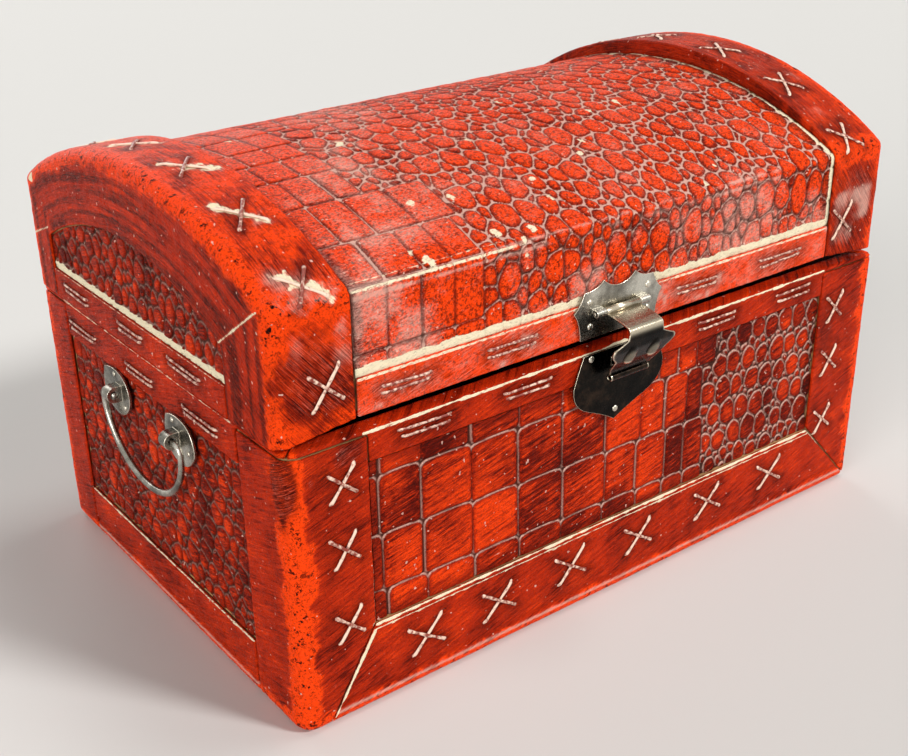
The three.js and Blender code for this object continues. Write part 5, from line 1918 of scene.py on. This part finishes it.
def finishCarcass():
    pine, cotton = planedPine(pineFinish), wovenCotton(cottonFinish)
    for name, node in nodes.items():
        if name.endswith(("_board", "_rail", "_gable")):
            node.data.materials.clear()
            node.data.materials.append(pine)
        elif name.endswith("_lining"):
            node.data.materials.clear()
            node.data.materials.append(cotton)


finishCarcass()
print("carcass finished")


# Camera, lights and floor

# The camera that was fitted to the trunk's straight edges in the photograph
photoView = {
    "azimuth": -37.013,
    "elevation": 25.371,
    "roll": -0.944,
    "place": (-329.25, -427.24, 316.64),  # from the middle of the trunk's foot
    "lens": 51.91,
    "sensor": 36.0,
}


def buildCamera():
    view = photoView
    azimuth, elevation, roll = (math.radians(view[key]) for key in ("azimuth", "elevation", "roll"))
    flat = math.cos(elevation)
    back = Vector((math.sin(azimuth) * flat, -math.cos(azimuth) * flat, math.sin(elevation)))
    right = Vector((0, 0, 1)).cross(back).normalized()
    up = back.cross(right)
    turn = Matrix((right, up, back)).transposed() @ Matrix.Rotation(roll, 3, "Z")
    data = bpy.data.cameras.new("camera")
    data.lens = view["lens"]
    data.sensor_width = view["sensor"]
    data.clip_start = 0.01
    camera = bpy.data.objects.new("camera", data)
    camera.matrix_world = Matrix.Translation(Vector(view["place"]) * mm) @ turn.to_4x4()
    scene.collection.objects.link(camera)
    scene.camera = camera


# Four broad suns: the way that the light goes, its spread in degrees and its strength
lamps = {
    "overhead_soft_light": {"towards": (-0.35, 0.05, -0.95), "spread": 20, "strength": 0.8},
    "front_soft_light": {"towards": (-0.4, 0.68, -0.6), "spread": 12, "strength": 2.4},
    "left_fill_light": {"towards": (0.85, 0.35, -0.3), "spread": 40, "strength": 2.3},
    "back_fill_light": {"towards": (-0.1, -0.85, -0.35), "spread": 40, "strength": 1.2},
}
studioWorld = {"colour": "#f2f0ec", "level": 0.15, "backdrop": "#e9e7e2"}


def buildLight():
    for name, lamp in lamps.items():
        data = bpy.data.lights.new(name, "SUN")
        data.angle = math.radians(lamp["spread"])
        data.energy = lamp["strength"]
        light = bpy.data.objects.new(name, data)
        light.rotation_euler = Vector(lamp["towards"]).to_track_quat("-Z", "Y").to_euler()
        scene.collection.objects.link(light)
    world = bpy.data.worlds.new("studio")
    world.use_nodes = True
    tree = world.node_tree
    tree.nodes.clear()
    # What is seen directly or mirrored is as pale as the floor, without lighting the scene
    rays = addNode(tree, "ShaderNodeLightPath").outputs
    seen = rays["Is Camera Ray"]
    for kind in ("Is Glossy Ray", "Is Transmission Ray"):
        inputs = {0: seen, 1: rays[kind]}
        seen = addNode(tree, "ShaderNodeMath", inputs, operation="MAXIMUM").outputs[0]
    light = {"Color": hexColor(studioWorld["colour"]), "Strength": studioWorld["level"]}
    backdrop = {"Color": hexColor(studioWorld["backdrop"]), "Strength": 1.0}
    inputs = {0: seen}
    inputs[1] = addNode(tree, "ShaderNodeBackground", light).outputs[0]
    inputs[2] = addNode(tree, "ShaderNodeBackground", backdrop).outputs[0]
    mixed = addNode(tree, "ShaderNodeMixShader", inputs).outputs[0]
    addNode(tree, "ShaderNodeOutputWorld", {"Surface": mixed})
    scene.world = world


floorFinish = {"colour": "#d0ceca", "rough": 0.9, "size": 4.0}


# Matt uncoated paper under the trunk: it gives the eye soft shadows and no reflection.
def buildFloor():
    material, tree = newMaterial("pale_paper_floor")
    inputs = {"Base Color": hexColor(floorFinish["colour"]), "Roughness": floorFinish["rough"]}
    shader = addNode(tree, "ShaderNodeBsdfPrincipled", inputs)
    addNode(tree, "ShaderNodeOutputMaterial", {"Surface": shader.outputs[0]})
    bm = bmesh.new()
    bmesh.ops.create_grid(bm, x_segments=1, y_segments=1, size=floorFinish["size"])
    newPiece("floor", meshFrom(bm, "floor"), material, smooth=False)


buildCamera()
buildLight()
buildFloor()
print("camera, lights and floor made")
